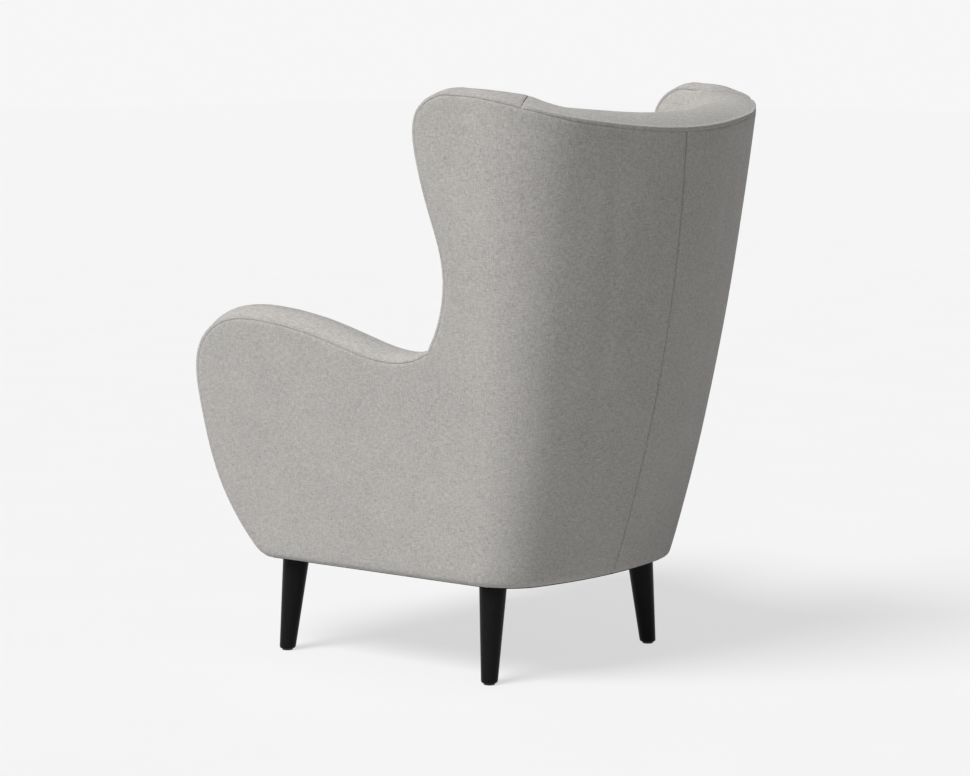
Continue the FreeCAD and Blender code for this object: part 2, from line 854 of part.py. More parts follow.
def hanger_bolt(foot_x, y):
    top_x, top_y = leg_top(foot_x, y)
    return Part.makeCylinder(bolt_diameter / 2, bolt_in_leg + bolt_in_block,
                             Vector(top_x, top_y, body_bottom - bolt_in_leg))


def threaded_insert(foot_x, y):
    """Hexagonal insert in the corner block, round which the block is bored."""
    top_x, top_y = leg_top(foot_x, y)
    base = Vector(top_x, top_y, body_bottom + 0.5)
    corners = [base + Vector(math.cos(angle), math.sin(angle), 0) * (insert_diameter / 2)
               for angle in levels(0, 2 * math.pi, 7)]
    hexagon = Part.Face(Part.makePolygon(corners)).extrude(Vector(0, 0, insert_length))
    return hexagon.cut(Part.makeCylinder(bolt_diameter / 2 + bore_clearance, insert_length, base))


def seat_straps(front_block_rear, rear_block_front):
    """Elastic straps on the seat rails, those across below those from front to rear."""
    straps = []
    room = frame_room()
    first = front_block_rear + webbing_width / 2
    last = rear_block_front - webbing_width / 2
    for y in levels(first, last, seat_straps_across):
        half = room.side_x(y + webbing_width / 2, seat_plane(y)) - 2 * piece_gap
        straps.append(strap_slab(-half, half, y - webbing_width / 2, y + webbing_width / 2,
                                 piece_gap / 2))
    reach = inside_room().side_x(rear_block_front, front_rail_top) - webbing_width / 2
    plan = outside_plan(body_bottom, rear_rail_inset)
    for x in levels(-reach, reach, seat_straps_along):
        edge = abs(x) + webbing_width / 2
        rear = plan.back_centre + math.sqrt(plan.back_radius ** 2 - edge ** 2)
        straps.append(strap_slab(x - webbing_width / 2, x + webbing_width / 2,
                                 front_rail_face + 3, rear - 3,
                                 piece_gap + webbing_thickness))
    return Part.makeCompound(straps)


def strap_slab(x0, x1, y0, y1, lift):
    return prism_yz([(y0, seat_plane(y0) + lift), (y1, seat_plane(y1) + lift),
                     (y1, seat_plane(y1) + lift + webbing_thickness),
                     (y0, seat_plane(y0) + lift + webbing_thickness)], x0, x1)


def back_webbing():
    """Flat upright straps between the padding and the back rails."""
    low = lower_back_rail_height + 4
    high = crest_rail_height + 30
    # The padding bulges past a flat strap by about this much
    bulge = 1.3 * webbing_width ** 2 / (8 * frame_back_radius)
    room = frame_room(bulge + piece_gap / 2)
    reach = room.corner(low)[0] - post_thickness - webbing_width
    straps = []
    for x in levels(-reach, reach, back_straps):
        edges = (x - webbing_width / 2, x + webbing_width / 2)
        ends = []
        for z in (low, high):
            near = [Vector(edge, room.back_y(edge, z), z) for edge in edges]
            far = [point + Vector(0, webbing_thickness, 0) for point in near]
            ends.append(near + far[::-1])
        straps.append(flat_sided(*ends))
    return Part.makeCompound(straps)


def dust_cover(feet):
    """Thin cloth stapled under the body, with holes for the legs."""
    margin = cover_thickness + 4
    plan = outside_plan(body_bottom, margin)
    plan.z = body_bottom - dust_cover_thickness - piece_gap / 2
    sheet = Part.Face(plan.wire(arm_foot_reach + margin))
    sheet = sheet.extrude(Vector(0, 0, dust_cover_thickness))
    for foot_x, y in feet:
        top_x, top_y = leg_top(foot_x, y)
        for side in (1, -1):
            hole = Part.makeCylinder(leg_top_diameter / 2 + 1.5, 20,
                                     Vector(side * top_x, top_y, body_bottom - 10))
            sheet = sheet.cut(hole)
    return main_solid(sheet)


def both_sides(shape):
    return Part.makeCompound([shape, mirrored(shape)])


def build():
    """Every piece of the chair by its name, before the origin moves."""
    outline = side_outline_solid()
    above_rim = rim_space()
    wall = frame_room().solid(body_bottom).cut(inside_room().solid(front=front_limit - 20))
    posts = (back_post(piece_gap / 2), mirrored(back_post(piece_gap / 2)))
    wall = wall.cut(posts[0]).cut(posts[1])
    pieces = {}

    def pair(name, shape):
        pieces["left_" + name] = shape
        pieces["right_" + name] = mirrored(shape)

    pair("outside_cover", outside_cover(outline, above_rim))
    pair("arm_band", arm_band())
    pair("wing_band", wing_band())
    pieces["top_band"] = top_band()
    arm, wing = side_pads(wall, outline, above_rim)
    pair("arm_pad", arm)
    pair("wing_pad", wing)
    pieces["inside_back_pad"] = back_pad(wall, above_rim)
    pieces["front_border"] = front_border()
    pieces["seat_deck"] = seat_deck()
    pieces["seat_cushion"] = seat_cushion()

    pair("side_panel", arm_panel(outline, above_rim))
    pair("wing_panel", wing_panel(outline, above_rim))
    pair("back_post", main_solid(back_post().common(outline).cut(above_rim)))

    front_foot = (front_foot_x, -foot_y)
    rear_foot = (rear_foot_x, foot_y)
    front_top = leg_top(*front_foot)
    rear_top = leg_top(*rear_foot)
    front_inner = front_top[0] - block_length / 2
    rear_inner = rear_top[0] - block_length / 2
    front_rear = front_rail_face + block_length
    rear_front = rear_top[1] - block_length / 2
    front_block = corner_block(front_inner, front_rail_face, front_rear, *front_top)
    rear_block = corner_block(rear_inner, rear_front, rear_front + 1.2 * block_length, *rear_top)
    pieces["corner_blocks"] = Part.makeCompound([front_block, mirrored(front_block),
                                                 rear_block, mirrored(rear_block)])

    top = below_seat_plane()
    half = front_inner - piece_gap / 2
    pieces["front_seat_rail"] = box(-half, half, front_rail_face,
                                    front_rail_face + rail_thickness, body_bottom,
                                    front_rail_top).common(top)
    front = front_rear + piece_gap / 2
    rear = rear_front - piece_gap / 2
    ledger = side_slab(side_frame_depth - piece_gap / 2, rail_thickness, (front, front),
                       (rear, rear), body_bottom, front_rail_top)
    pair("seat_rail", ledger.common(top))
    pieces["rear_seat_rail"] = rear_seat_rail(rear_inner - piece_gap / 2)

    pieces["lower_back_rail"] = back_rail(lower_back_rail_height,
                                          lower_back_rail_height + back_rail_width)
    pieces["middle_back_rail"] = back_rail(middle_back_rail_height,
                                           middle_back_rail_height + back_rail_width)
    crest = back_rail(crest_rail_height, blank_top)
    pieces["crest_rail"] = main_solid(crest.common(outline).cut(above_rim))

    pieces["seat_webbing"] = seat_straps(front_rear, rear_front)
    pieces["back_webbing"] = back_webbing()
    pieces["dust_cover"] = dust_cover([front_foot, rear_foot])
    feet = [front_foot, rear_foot]
    pieces["legs"] = Part.makeCompound([both_sides(leg(*foot)) for foot in feet])
    pieces["glides"] = Part.makeCompound([both_sides(glide(*foot)) for foot in feet])
    pieces["hanger_bolts"] = Part.makeCompound([both_sides(hanger_bolt(*foot)) for foot in feet])
    pieces["threaded_inserts"] = Part.makeCompound(
        [both_sides(threaded_insert(*foot)) for foot in feet])
    return pieces


def main():
    pieces = build()
    front = arm_nose_reach - seam_gap - arm_crown
    middle = (front + back_reach_top) / 2
    os.makedirs("parts", exist_ok=True)
    for name, shape in pieces.items():
        solids = [solid.copy() for solid in shape.Solids]
        moved = solids[0] if len(solids) == 1 else Part.makeCompound(solids)
        moved.translate(Vector(0, -middle, 0))
        moved.exportStep("parts/" + name + ".step")


main()
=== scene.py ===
import math

import bmesh
import bpy
import numpy as np
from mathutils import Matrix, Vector, noise
from mathutils.bvhtree import BVHTree
from mathutils.geometry import delaunay_2d_cdt


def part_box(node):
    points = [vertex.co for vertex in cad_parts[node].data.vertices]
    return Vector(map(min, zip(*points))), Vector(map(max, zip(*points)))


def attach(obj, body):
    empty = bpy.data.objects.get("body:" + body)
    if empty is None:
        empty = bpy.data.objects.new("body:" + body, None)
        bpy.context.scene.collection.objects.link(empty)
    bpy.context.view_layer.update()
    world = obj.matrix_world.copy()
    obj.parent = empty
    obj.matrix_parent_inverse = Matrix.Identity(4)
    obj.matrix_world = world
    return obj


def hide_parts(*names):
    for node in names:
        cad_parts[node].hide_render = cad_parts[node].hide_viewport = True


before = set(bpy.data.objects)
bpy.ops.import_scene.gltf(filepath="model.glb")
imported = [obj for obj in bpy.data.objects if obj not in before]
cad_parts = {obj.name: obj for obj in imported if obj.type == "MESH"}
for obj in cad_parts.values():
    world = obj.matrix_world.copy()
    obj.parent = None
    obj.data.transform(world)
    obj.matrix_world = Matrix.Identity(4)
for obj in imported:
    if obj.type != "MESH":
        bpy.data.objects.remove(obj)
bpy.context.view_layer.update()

# Metres. As in the CAD, shapes are worked out with y = 0 midway between the front and rear
# feet, and MIDDLE moves them to the origin under the middle of the box.
MIDDLE = 0.0619
BOTTOM, TOP = 0.178, 1.0
# At the bottom, half way up and at the top of the plan
HALF_WIDTHS = (0.2793, 0.3398, 0.3853)
REACHES = (0.3289, 0.4426, 0.4886)
BACK_RADII = (0.6746, 0.5005, 0.715)
CORNER_RADII = (0.1049, 0.1379, 0.1669)
SPLAY = math.radians(8.32)
SIDE_END = math.pi / 2 - SPLAY
RAIL_TOP = 0.285
NOSE = (-0.354, 0.455)
CREST = (-0.205, 0.631)
DIP = (0.111, 0.574)
JUNCTION = (0.172, 0.596)
NECK = (0.219, 0.747)
TIP = (0.182, 0.930)
PEAK = (0.266, 1.041)
FOOT_REACH = -0.251
BACK_TOP = (0.4886, 0.978)
EAR_SEAM = math.radians(56)
TILT = math.radians(2.5)
RAIL_FACE = -0.236
ARM_CROWN, EAR_CROWN, BACK_CROWN = 0.010, 0.009, 0.024
ARM_FULLNESS = 0.010
ARM_THICKNESS, WING_THICKNESS = 0.100, 0.070
BACK_THICKNESS_SEAT, BACK_THICKNESS_TOP = 0.150, 0.100
WEBBING_ROOM = 0.004
DECK = RAIL_TOP + WEBBING_ROOM + 0.036
BORDER_SETBACK = 0.008
STEP = 0.006


def three(low, middle, high, z):
    """Value at height z of the parabola through the values at the bottom, middle and top."""
    t = (z - BOTTOM) / (TOP - BOTTOM)
    return low * (1 - t) * (1 - 2 * t) + 4 * middle * t * (1 - t) + high * t * (2 * t - 1)


def plan(z):
    """Horseshoe plan at heights z: half width, radii of back and corner, y of the back's
    centre, angle where the back meets the corner, and the corner's centre."""
    w = three(*HALF_WIDTHS, z)
    rb = 1 / three(*(1 / radius for radius in BACK_RADII), z)
    rc = three(*CORNER_RADII, z)
    centre = three(*REACHES, z) - rb
    swing = rb - rc
    a = np.arcsin((w * math.cos(SPLAY) - rc - centre * math.sin(SPLAY)) / swing) - SPLAY
    return w, rb, rc, centre, a, swing * np.sin(a), centre + swing * np.cos(a)


def outside(s, z):
    """Points of the left outside at distance s along the plan (y on the straight side)."""
    s, z = np.broadcast_arrays(np.asarray(s, float), np.asarray(z, float))
    w, rb, rc, centre, a, cx, cy = plan(z)
    start = cy + rc * math.cos(SIDE_END)
    turn = rc * (SIDE_END - a)
    on_corner = SIDE_END - np.clip((s - start) / rc, 0, SIDE_END - a)
    on_back = a - np.clip((s - start - turn) / rb, 0, None)
    x = np.where(s <= start, w - s * math.tan(SPLAY), cx + rc * np.sin(on_corner))
    y = np.where(s <= start, s, cy + rc * np.cos(on_corner))
    behind = s > start + turn
    x = np.where(behind, rb * np.sin(on_back), x)
    y = np.where(behind, centre + rb * np.cos(on_back), y)
    return np.stack([x, y, z], -1)


def plan_distance(angle, z):
    """Distance s along the plan at an angle round the corner or the back."""
    w, rb, rc, centre, a, cx, cy = plan(z)
    start = cy + rc * math.cos(SIDE_END)
    if angle >= a:
        return start + rc * (SIDE_END - angle)
    return start + rc * (SIDE_END - a) + rb * (a - angle)


def back_end(z):
    """Distance s along the plan at the middle of the back."""
    w, rb, rc, centre, a, cx, cy = plan(z)
    return cy + rc * math.cos(SIDE_END) + rc * (SIDE_END - a) + rb * a


# Space between the inside faces
LOW, HIGH = plan(RAIL_TOP), plan(TOP)
ROOM_R = 0.480
ROOM_W = LOW[0] - ARM_THICKNESS / math.cos(SPLAY)
ROOM_WS = (HIGH[0] - WING_THICKNESS / math.cos(SPLAY) - ROOM_W) / (TOP - RAIL_TOP)
ROOM_Y = three(*REACHES, RAIL_TOP) - BACK_THICKNESS_SEAT
ROOM_YS = (REACHES[2] - BACK_THICKNESS_TOP - ROOM_Y) / (TOP - RAIL_TOP)
ROOM_D = ROOM_R * math.sqrt(1 + ROOM_YS ** 2)


def room_x(y, z):
    return ROOM_W + ROOM_WS * (z - RAIL_TOP) - y * math.tan(SPLAY)


def room_y(x, z):
    near = np.clip(1 - (np.asarray(x) / ROOM_R) ** 2, 0.01, None)
    return ROOM_Y + ROOM_YS * (z - RAIL_TOP) - ROOM_D * (1 - np.sqrt(near))


def room_corner(z):
    x = room_x(0.28, z)
    for _ in range(25):
        x = room_x(room_y(x, z), z)
    return x, room_y(x, z)


def inside_side(y, z):
    return np.stack([room_x(y, z), y + 0 * z, z + 0 * y], -1)


def inside_back(x, z):
    return np.stack([x + 0 * z, room_y(x, z), z + 0 * x], -1)


def round_inside(s, z):
    """Left inside surface: s is y less the corner's y on the side, and past the corner it is
    the way towards the middle of the back. The corner is softly filled."""
    cx, cy = room_corner(z)
    ease = 0.030

    def raw(q):
        side = inside_side(cy + np.minimum(q, 0), z)
        back = inside_back(cx - np.maximum(q, 0), z)
        return np.where((q <= 0)[..., None], side, back)

    t = np.clip((s + ease) / (2 * ease), 0, 1)[..., None]
    ends = [raw(np.full_like(s, q)) for q in (-ease, 0.0, ease)]
    soft = (1 - t) ** 2 * ends[0] + 2 * t * (1 - t) * ends[1] + t ** 2 * ends[2]
    return np.where((np.abs(s) < ease)[..., None], soft, raw(s))


def way_along(points):
    """Distance of each point of a line from its start."""
    return np.concatenate([[0], np.cumsum(np.linalg.norm(np.diff(points, axis=0), axis=1))])


def spline(points, step):
    """Smooth line through (y, z) points, sampled at about equal steps."""
    p = np.array(points, float)
    t = way_along(p)
    n = len(p)
    a = np.zeros((n, n))
    b = np.zeros((n, 2))
    a[0, 0] = a[-1, -1] = 1
    b[0] = np.polyfit(t[:4] - t[0], p[:4], 3)[2]
    b[-1] = np.polyfit(t[-4:] - t[-1], p[-4:], 3)[2]
    for i in range(1, n - 1):
        h0, h1 = t[i] - t[i - 1], t[i + 1] - t[i]
        a[i, i - 1:i + 2] = 1 / h0, 2 / h0 + 2 / h1, 1 / h1
        b[i] = 3 * ((p[i] - p[i - 1]) / h0 ** 2 + (p[i + 1] - p[i]) / h1 ** 2)
    m = np.linalg.solve(a, b)
    fine = []
    for i in range(n - 1):
        h = t[i + 1] - t[i]
        u = np.linspace(0, 1, 60, endpoint=i == n - 2)[:, None]
        fine.append((2 * u ** 3 - 3 * u ** 2 + 1) * p[i] + (u ** 3 - 2 * u ** 2 + u) * h * m[i]
                    + (3 * u ** 2 - 2 * u ** 3) * p[i + 1] + (u ** 3 - u ** 2) * h * m[i + 1])
    return resample(np.concatenate(fine), step)


def resample(points, step):
    """The same line with points about a step apart."""
    points = np.asarray(points, float)
    way = way_along(points)
    count = max(2, int(round(way[-1] / step)) + 1)
    at = np.linspace(0, way[-1], count)
    return np.stack([np.interp(at, way, points[:, k]) for k in range(points.shape[1])], -1)


front_rise = NOSE[1] - BOTTOM
front_run = FOOT_REACH - NOSE[0]
FRONT_R = (front_rise ** 2 + front_run ** 2) / (2 * front_run)


def front_reach(z):
    """Front edge of the arm below its nose."""
    return NOSE[0] + FRONT_R - np.sqrt(FRONT_R ** 2 - (NOSE[1] - z) ** 2)


def arm_line():
    drop = BOTTOM - 0.060
    shoulder = CREST[1] - NOSE[1]
    middle = NOSE[1] - front_rise / 2
    line = spline([(front_reach(drop), drop), (FOOT_REACH, BOTTOM), (front_reach(middle), middle),
                   NOSE,
                   (NOSE[0] + 0.10 * (CREST[0] - NOSE[0]), NOSE[1] + 0.70 * shoulder),
                   (NOSE[0] + 0.50 * (CREST[0] - NOSE[0]), NOSE[1] + 0.96 * shoulder),
                   CREST, ((CREST[0] + DIP[0]) / 2, (CREST[1] + DIP[1]) / 2), DIP, JUNCTION],
                  0.001)
    line = line[line[:, 1] > BOTTOM]
    return resample(np.vstack([(FOOT_REACH, BOTTOM), line]), STEP)


def wing_line():
    rise, run = PEAK[1] - TIP[1], PEAK[0] - TIP[0]
    return spline([JUNCTION,
                   (JUNCTION[0] + 0.83 * (NECK[0] - JUNCTION[0]),
                    JUNCTION[1] + 0.55 * (NECK[1] - JUNCTION[1])),
                   NECK, ((NECK[0] + TIP[0]) / 2, (NECK[1] + TIP[1]) / 2), TIP,
                   (TIP[0] + 0.107 * run, TIP[1] + 0.748 * rise),
                   (TIP[0] + 0.536 * run, TIP[1] + 0.973 * rise), PEAK], STEP)


def seam_height(y):
    return PEAK[1] - (PEAK[1] - BACK_TOP[1]) * ((y - PEAK[0]) / (BACK_TOP[0] - PEAK[0])) ** 2


def seam_point(angle):
    z = BACK_TOP[1]
    for _ in range(8):
        s = plan_distance(angle, z)
        point = outside(s, z)
        z = seam_height(point[1])
    return s, point


def rim_line(angle):
    """Outer seam (s, z), outer point and inner point at an angle round the back."""
    s, outer = seam_point(angle)
    inward = np.array([-math.sin(angle), -math.cos(angle), 0])
    near, far = 0.0, 0.30
    for _ in range(40):
        middle = (near + far) / 2
        p = outer + inward * middle
        held = p[0] < room_x(p[1], p[2]) and p[1] < room_y(p[0], p[2])
        near, far = (near, middle) if held else (middle, far)
    inner = outer + inward * far
    inner[2] = seam_height(inner[1])
    return s, outer, inner


def back_line(angle):
    s, outer, inner = rim_line(angle)
    _, seam_outer, seam_inner = rim_line(EAR_SEAM)
    rise = seam_inner[2] - seam_outer[2]
    inner[2] = outer[2] + 0.008 + (rise - 0.008) * (angle / EAR_SEAM) ** 2
    return s, outer, inner


arm = arm_line()
wing = wing_line()
ear_angles = np.linspace(SIDE_END, EAR_SEAM, 14)
ear_start = seam_point(SIDE_END)[1]
ear_side = [(y, seam_height(y)) for y in np.linspace(PEAK[0], ear_start[1], 9)[1:-1]]
ear_rows = [rim_line(angle) for angle in ear_angles]
back_rows = [back_line(angle) for angle in np.linspace(EAR_SEAM, 0, 60)]


def across(points):
    """Outer and inner ends of rim lines straight across the arm or wing."""
    points = np.asarray(points)
    return outside(points[:, 0], points[:, 1]), inside_side(points[:, 0], points[:, 1])


def to_object(points):
    points = np.array(points, float)
    points[..., 1] -= MIDDLE
    return points


def mesh_object(name, points, faces, smooth=True):
    mesh = bpy.data.meshes.new(name)
    mesh.from_pydata([tuple(p) for p in points], [], [tuple(int(i) for i in f) for f in faces])
    mesh.validate()
    mesh.update()
    if smooth:
        mesh.polygons.foreach_set("use_smooth", [True] * len(mesh.polygons))
    obj = bpy.data.objects.new(name, mesh)
    bpy.context.scene.collection.objects.link(obj)
    return obj


def mirror_points(points):
    return np.asarray(points) * np.array([-1, 1, 1])


def clear(points, polygon_3d):
    """Distance of each point to the nearest point of a closed line in space."""
    best = np.full(len(points), 9.0)
    for i in range(0, len(polygon_3d), 200):
        part = polygon_3d[i:i + 200]
        best = np.minimum(best, np.linalg.norm(points[:, None] - part[None], axis=2).min(1))
    return best


def in_polygon(q, polygon):
    x, y = q[:, 0], q[:, 1]
    inside = np.zeros(len(q), bool)
    a = polygon
    b = np.roll(polygon, -1, axis=0)
    for (x0, y0), (x1, y1) in zip(a, b):
        if y0 != y1:
            crossing = (y0 > y) != (y1 > y)
            inside ^= crossing & (x < (x1 - x0) * (y - y0) / (y1 - y0) + x0)
    return inside


def fill(polygon, surface, grid=0.011, rows=(0.0018, 0.0036, 0.006, 0.010)):
    """Triangles of a surface inside a closed line of its own (s, z) coordinates.

    Rows of points follow the edge, because the seams there are finer than the grid.
    """
    polygon = np.asarray(polygon, float)
    nxt, prv = np.roll(polygon, -1, 0), np.roll(polygon, 1, 0)
    tangent = nxt - prv
    tangent /= np.maximum(np.linalg.norm(tangent, axis=1), 1e-9)[:, None]
    normal = np.stack([-tangent[:, 1], tangent[:, 0]], -1)
    area = 0.5 * np.sum(polygon[:, 0] * nxt[:, 1] - nxt[:, 0] * polygon[:, 1])
    if area < 0:
        normal = -normal
    inner = []
    for row in rows:
        q = polygon + normal * row
        away = np.linalg.norm(q[:, None] - polygon[None], axis=2).min(1)
        inner.append(q[(away > 0.92 * row) & in_polygon(q, polygon)])
    lo, hi = polygon.min(0), polygon.max(0)
    xs, ys = np.arange(lo[0], hi[0], grid), np.arange(lo[1], hi[1], grid * 0.866)
    gx, gy = np.meshgrid(xs, ys)
    gx = gx + (np.arange(len(ys)) % 2)[:, None] * grid / 2
    q = np.stack([gx.ravel(), gy.ravel()], -1)
    q = q[in_polygon(q, polygon)]
    away = np.min([np.linalg.norm(q[:, None] - polygon[None, i:i + 150], axis=2).min(1)
                   for i in range(0, len(polygon), 150)], axis=0)
    inner.append(q[away > rows[-1] + 0.45 * grid])
    points = np.vstack([polygon] + inner)
    n = len(polygon)
    edges = [(i, (i + 1) % n) for i in range(n)]
    verts, _, faces, _, _, _ = delaunay_2d_cdt([Vector(p) for p in points], edges, [], 1, 1e-7)
    q = np.array([tuple(v) for v in verts])
    centres = np.array([q[list(f)].mean(0) for f in faces])
    keep = in_polygon(centres, polygon)
    faces = np.array([f for f, k in zip(faces, keep) if k and len(f) == 3])
    p = surface(q[:, 0], q[:, 1])
    step = 0.001
    du = surface(q[:, 0] + step, q[:, 1]) - surface(q[:, 0] - step, q[:, 1])
    dv = surface(q[:, 0], q[:, 1] + step) - surface(q[:, 0], q[:, 1] - step)
    normals = np.cross(du, dv)
    normals /= np.maximum(np.linalg.norm(normals, axis=1), 1e-9)[:, None]
    edge = surface(polygon[:, 0], polygon[:, 1])
    return q, p, normals, faces, clear(p, edge)


def shell(name, points, normals, faces, thickness):
    """Closed form from a sheet: the sheet, a copy behind it and a strip round the edge."""
    n = len(points)
    behind = points - normals * thickness
    faces = np.asarray(faces)
    a = points[faces]
    up = np.cross(a[:, 1] - a[:, 0], a[:, 2] - a[:, 0])
    if np.sum(up * normals[faces[:, 0]]) < 0:
        faces = faces[:, ::-1]
    count = {}
    for f in faces:
        for i in range(3):
            e = (int(f[i]), int(f[(i + 1) % 3]))
            count[e] = 1
    rim = [e for e in count if (e[1], e[0]) not in count]
    sides = [(j, i, i + n, j + n) for i, j in rim]
    everything = [tuple(f) for f in faces] + [tuple(f[::-1] + n) for f in faces] + sides
    return mesh_object(name, to_object(np.vstack([points, behind])), everything)


def both(name, points, normals, faces, thickness):
    """A left and a right piece that mirror each other."""
    made = [shell("left_" + name, points, normals, faces, thickness)]
    made.append(shell("right_" + name, mirror_points(points), mirror_points(normals), faces,
                      thickness))
    return made


def wander(points, scale, seed):
    """Slow random sway in -1..1, the same on every run."""
    shift = Vector((seed * 3.1, seed * 1.7, seed * 2.3))
    return np.array([noise.noise(Vector(p) * scale + shift) for p in points])


def seam_tuck(d, depth=0.0026, width=0.0030, puff=0.0012, spread=0.022):
    """Height of the cloth near a seam: down into it, and a little proud just beside it."""
    d = np.abs(d)
    beside = (1 - np.exp(-d / 0.006)) * np.exp(-d / spread)
    return -depth * np.exp(-(d / width) ** 1.5) + puff * beside


# Materials

def srgb(r, g, b):
    values = []
    for c in (r, g, b):
        c /= 255
        values.append(c / 12.92 if c <= 0.04045 else ((c + 0.055) / 1.055) ** 2.4)
    return (*values, 1)


class Nodes:
    """Short way to add and join shader nodes."""

    def __init__(self, name):
        self.material = bpy.data.materials.new(name)
        self.material.use_nodes = True
        self.tree = self.material.node_tree
        self.shader = self.tree.nodes["Principled BSDF"]

    def add(self, kind, inputs=None, **settings):
        node = self.tree.nodes.new(kind)
        for key, value in settings.items():
            setattr(node, key, value)
        for key, value in (inputs or {}).items():
            socket = node.inputs[key]
            if isinstance(value, bpy.types.NodeSocket):
                self.tree.links.new(value, socket)
            else:
                socket.default_value = value
        return node

    def math(self, kind, a, b=0.0):
        return self.add("ShaderNodeMath", {0: a, 1: b}, operation=kind).outputs[0]

    def ramp(self, value, stops):
        node = self.add("ShaderNodeValToRGB", {"Fac": value})
        elements = node.color_ramp.elements
        while len(elements) < len(stops):
            elements.new(0.5)
        for element, (place, colour) in zip(elements, stops):
            element.position = place
            element.color = colour
        return node.outputs["Color"]

    def finish(self, **values):
        for key, value in values.items():
            socket = self.shader.inputs[key.replace("_", " ")]
            if isinstance(value, bpy.types.NodeSocket):
                self.tree.links.new(value, socket)
            else:
                socket.default_value = value
        return self.material


def weave_height(n, place, pitch):
    """Height of crossing threads, laid on whichever plane the surface faces."""
    parts = n.add("ShaderNodeSeparateXYZ", {0: place}).outputs
    facing = n.add("ShaderNodeNewGeometry").outputs["Normal"]
    square = n.add("ShaderNodeVectorMath", {0: facing, 1: facing}, operation="MULTIPLY")
    f = n.add("ShaderNodeSeparateXYZ", {0: square.outputs[0]}).outputs
    k = 2 * math.pi / pitch
    waves = [n.math("SINE", n.math("MULTIPLY", parts[i], k)) for i in range(3)]
    level = n.math("GREATER_THAN", f[2], 0.5)
    sideways = n.math("GREATER_THAN", f[0], f[1])

    def pick(flag, yes, no):
        mix = n.add("ShaderNodeMix", {"Factor": flag, "A": no, "B": yes}, data_type="FLOAT")
        return mix.outputs["Result"]

    weft = pick(level, waves[1], waves[2])
    warp = pick(n.math("MULTIPLY", sideways, n.math("SUBTRACT", 1.0, level)), waves[1], waves[0])
    return n.math("MAXIMUM", n.math("MULTIPLY", weft, warp),
                  n.math("MULTIPLY", n.math("MULTIPLY", weft, -1.0), warp))


def fabric(name, light, dark, pitch=0.0017, bump=0.35):
    """Woven cloth of lighter and darker yarns mixed, with slubs, sheen and soft shading."""
    n = Nodes(name)
    place = n.add("ShaderNodeTexCoord").outputs["Object"]
    sway = n.add("ShaderNodeTexNoise", {"Vector": place, "Scale": 60.0, "Detail": 2.0})
    bent = n.add("ShaderNodeMapRange", {"Vector": sway.outputs["Color"], 9: (-0.0006,) * 3,
                                        10: (0.0006,) * 3}, data_type="FLOAT_VECTOR")
    moved = n.add("ShaderNodeVectorMath", {0: place, 1: bent.outputs["Vector"]}, operation="ADD")
    cross = weave_height(n, moved.outputs[0], pitch)
    yarn = n.add("ShaderNodeTexNoise", {"Vector": place, "Scale": 1100.0, "Detail": 3.0,
                                        "Roughness": 0.7}).outputs["Fac"]
    flat = n.add("ShaderNodeMapping", {"Vector": place, "Scale": (1.0, 1.0, 0.22)})
    slub = n.add("ShaderNodeTexNoise", {"Vector": flat.outputs[0], "Scale": 540.0,
                                        "Detail": 2.0}).outputs["Fac"]
    level = n.add("ShaderNodeMapping", {"Vector": place, "Scale": (0.22, 0.22, 1.0)})
    slub_level = n.add("ShaderNodeTexNoise", {"Vector": level.outputs[0], "Scale": 550.0,
                                              "Detail": 2.0}).outputs["Fac"]
    cloud = n.add("ShaderNodeTexNoise", {"Vector": place, "Scale": 9.0, "Detail": 4.0,
                                         "Roughness": 0.6}).outputs["Fac"]
    mixed = n.math("ADD", n.math("MULTIPLY", yarn, 0.48),
                   n.math("ADD", n.math("MULTIPLY", slub, 0.23),
                          n.math("MULTIPLY", slub_level, 0.23)))
    mixed = n.math("ADD", mixed, n.math("MULTIPLY", cloud, 0.06))
    mixed = n.math("ADD", mixed, n.math("MULTIPLY", cross, 0.05))
    middle = tuple((a + b) / 2 for a, b in zip(light, dark))
    colour = n.ramp(mixed, [(0.36, dark), (0.50, middle), (0.63, light)])
    rough = n.add("ShaderNodeMapRange", {"Value": cloud, 3: 0.86, 4: 0.97}).outputs["Result"]
    height = n.math("ADD", n.math("MULTIPLY", cross, 0.5), n.math("MULTIPLY", yarn, 0.9))
    relief = n.add("ShaderNodeBump", {"Height": height, "Strength": bump, "Distance": 0.0004})
    n.shader.inputs["Sheen Weight"].default_value = 0.22
    n.shader.inputs["Sheen Roughness"].default_value = 0.45
    n.shader.inputs["Specular IOR Level"].default_value = 0.22
    return n.finish(Base_Color=colour, Roughness=rough, Normal=relief.outputs[0])


def lacquer(name):
    """Black satin lacquer over fine-grained wood, a little uneven."""
    n = Nodes(name)
    place = n.add("ShaderNodeTexCoord").outputs["Object"]
    long = n.add("ShaderNodeMapping", {"Vector": place, "Scale": (1.0, 1.0, 0.06)})
    grain = n.add("ShaderNodeTexNoise", {"Vector": long.outputs[0], "Scale": 620.0,
                                         "Detail": 3.0}).outputs["Fac"]
    dust = n.add("ShaderNodeTexNoise", {"Vector": place, "Scale": 70.0,
                                        "Detail": 3.0}).outputs["Fac"]
    colour = n.ramp(grain, [(0.3, srgb(14, 14, 15)), (0.7, srgb(22, 21, 21))])
    rough = n.add("ShaderNodeMapRange", {"Value": dust, 3: 0.30, 4: 0.44}).outputs["Result"]
    relief = n.add("ShaderNodeBump", {"Height": grain, "Strength": 0.06, "Distance": 0.0002})
    n.shader.inputs["Specular IOR Level"].default_value = 0.08
    return n.finish(Base_Color=colour, Roughness=rough, Normal=relief.outputs[0])


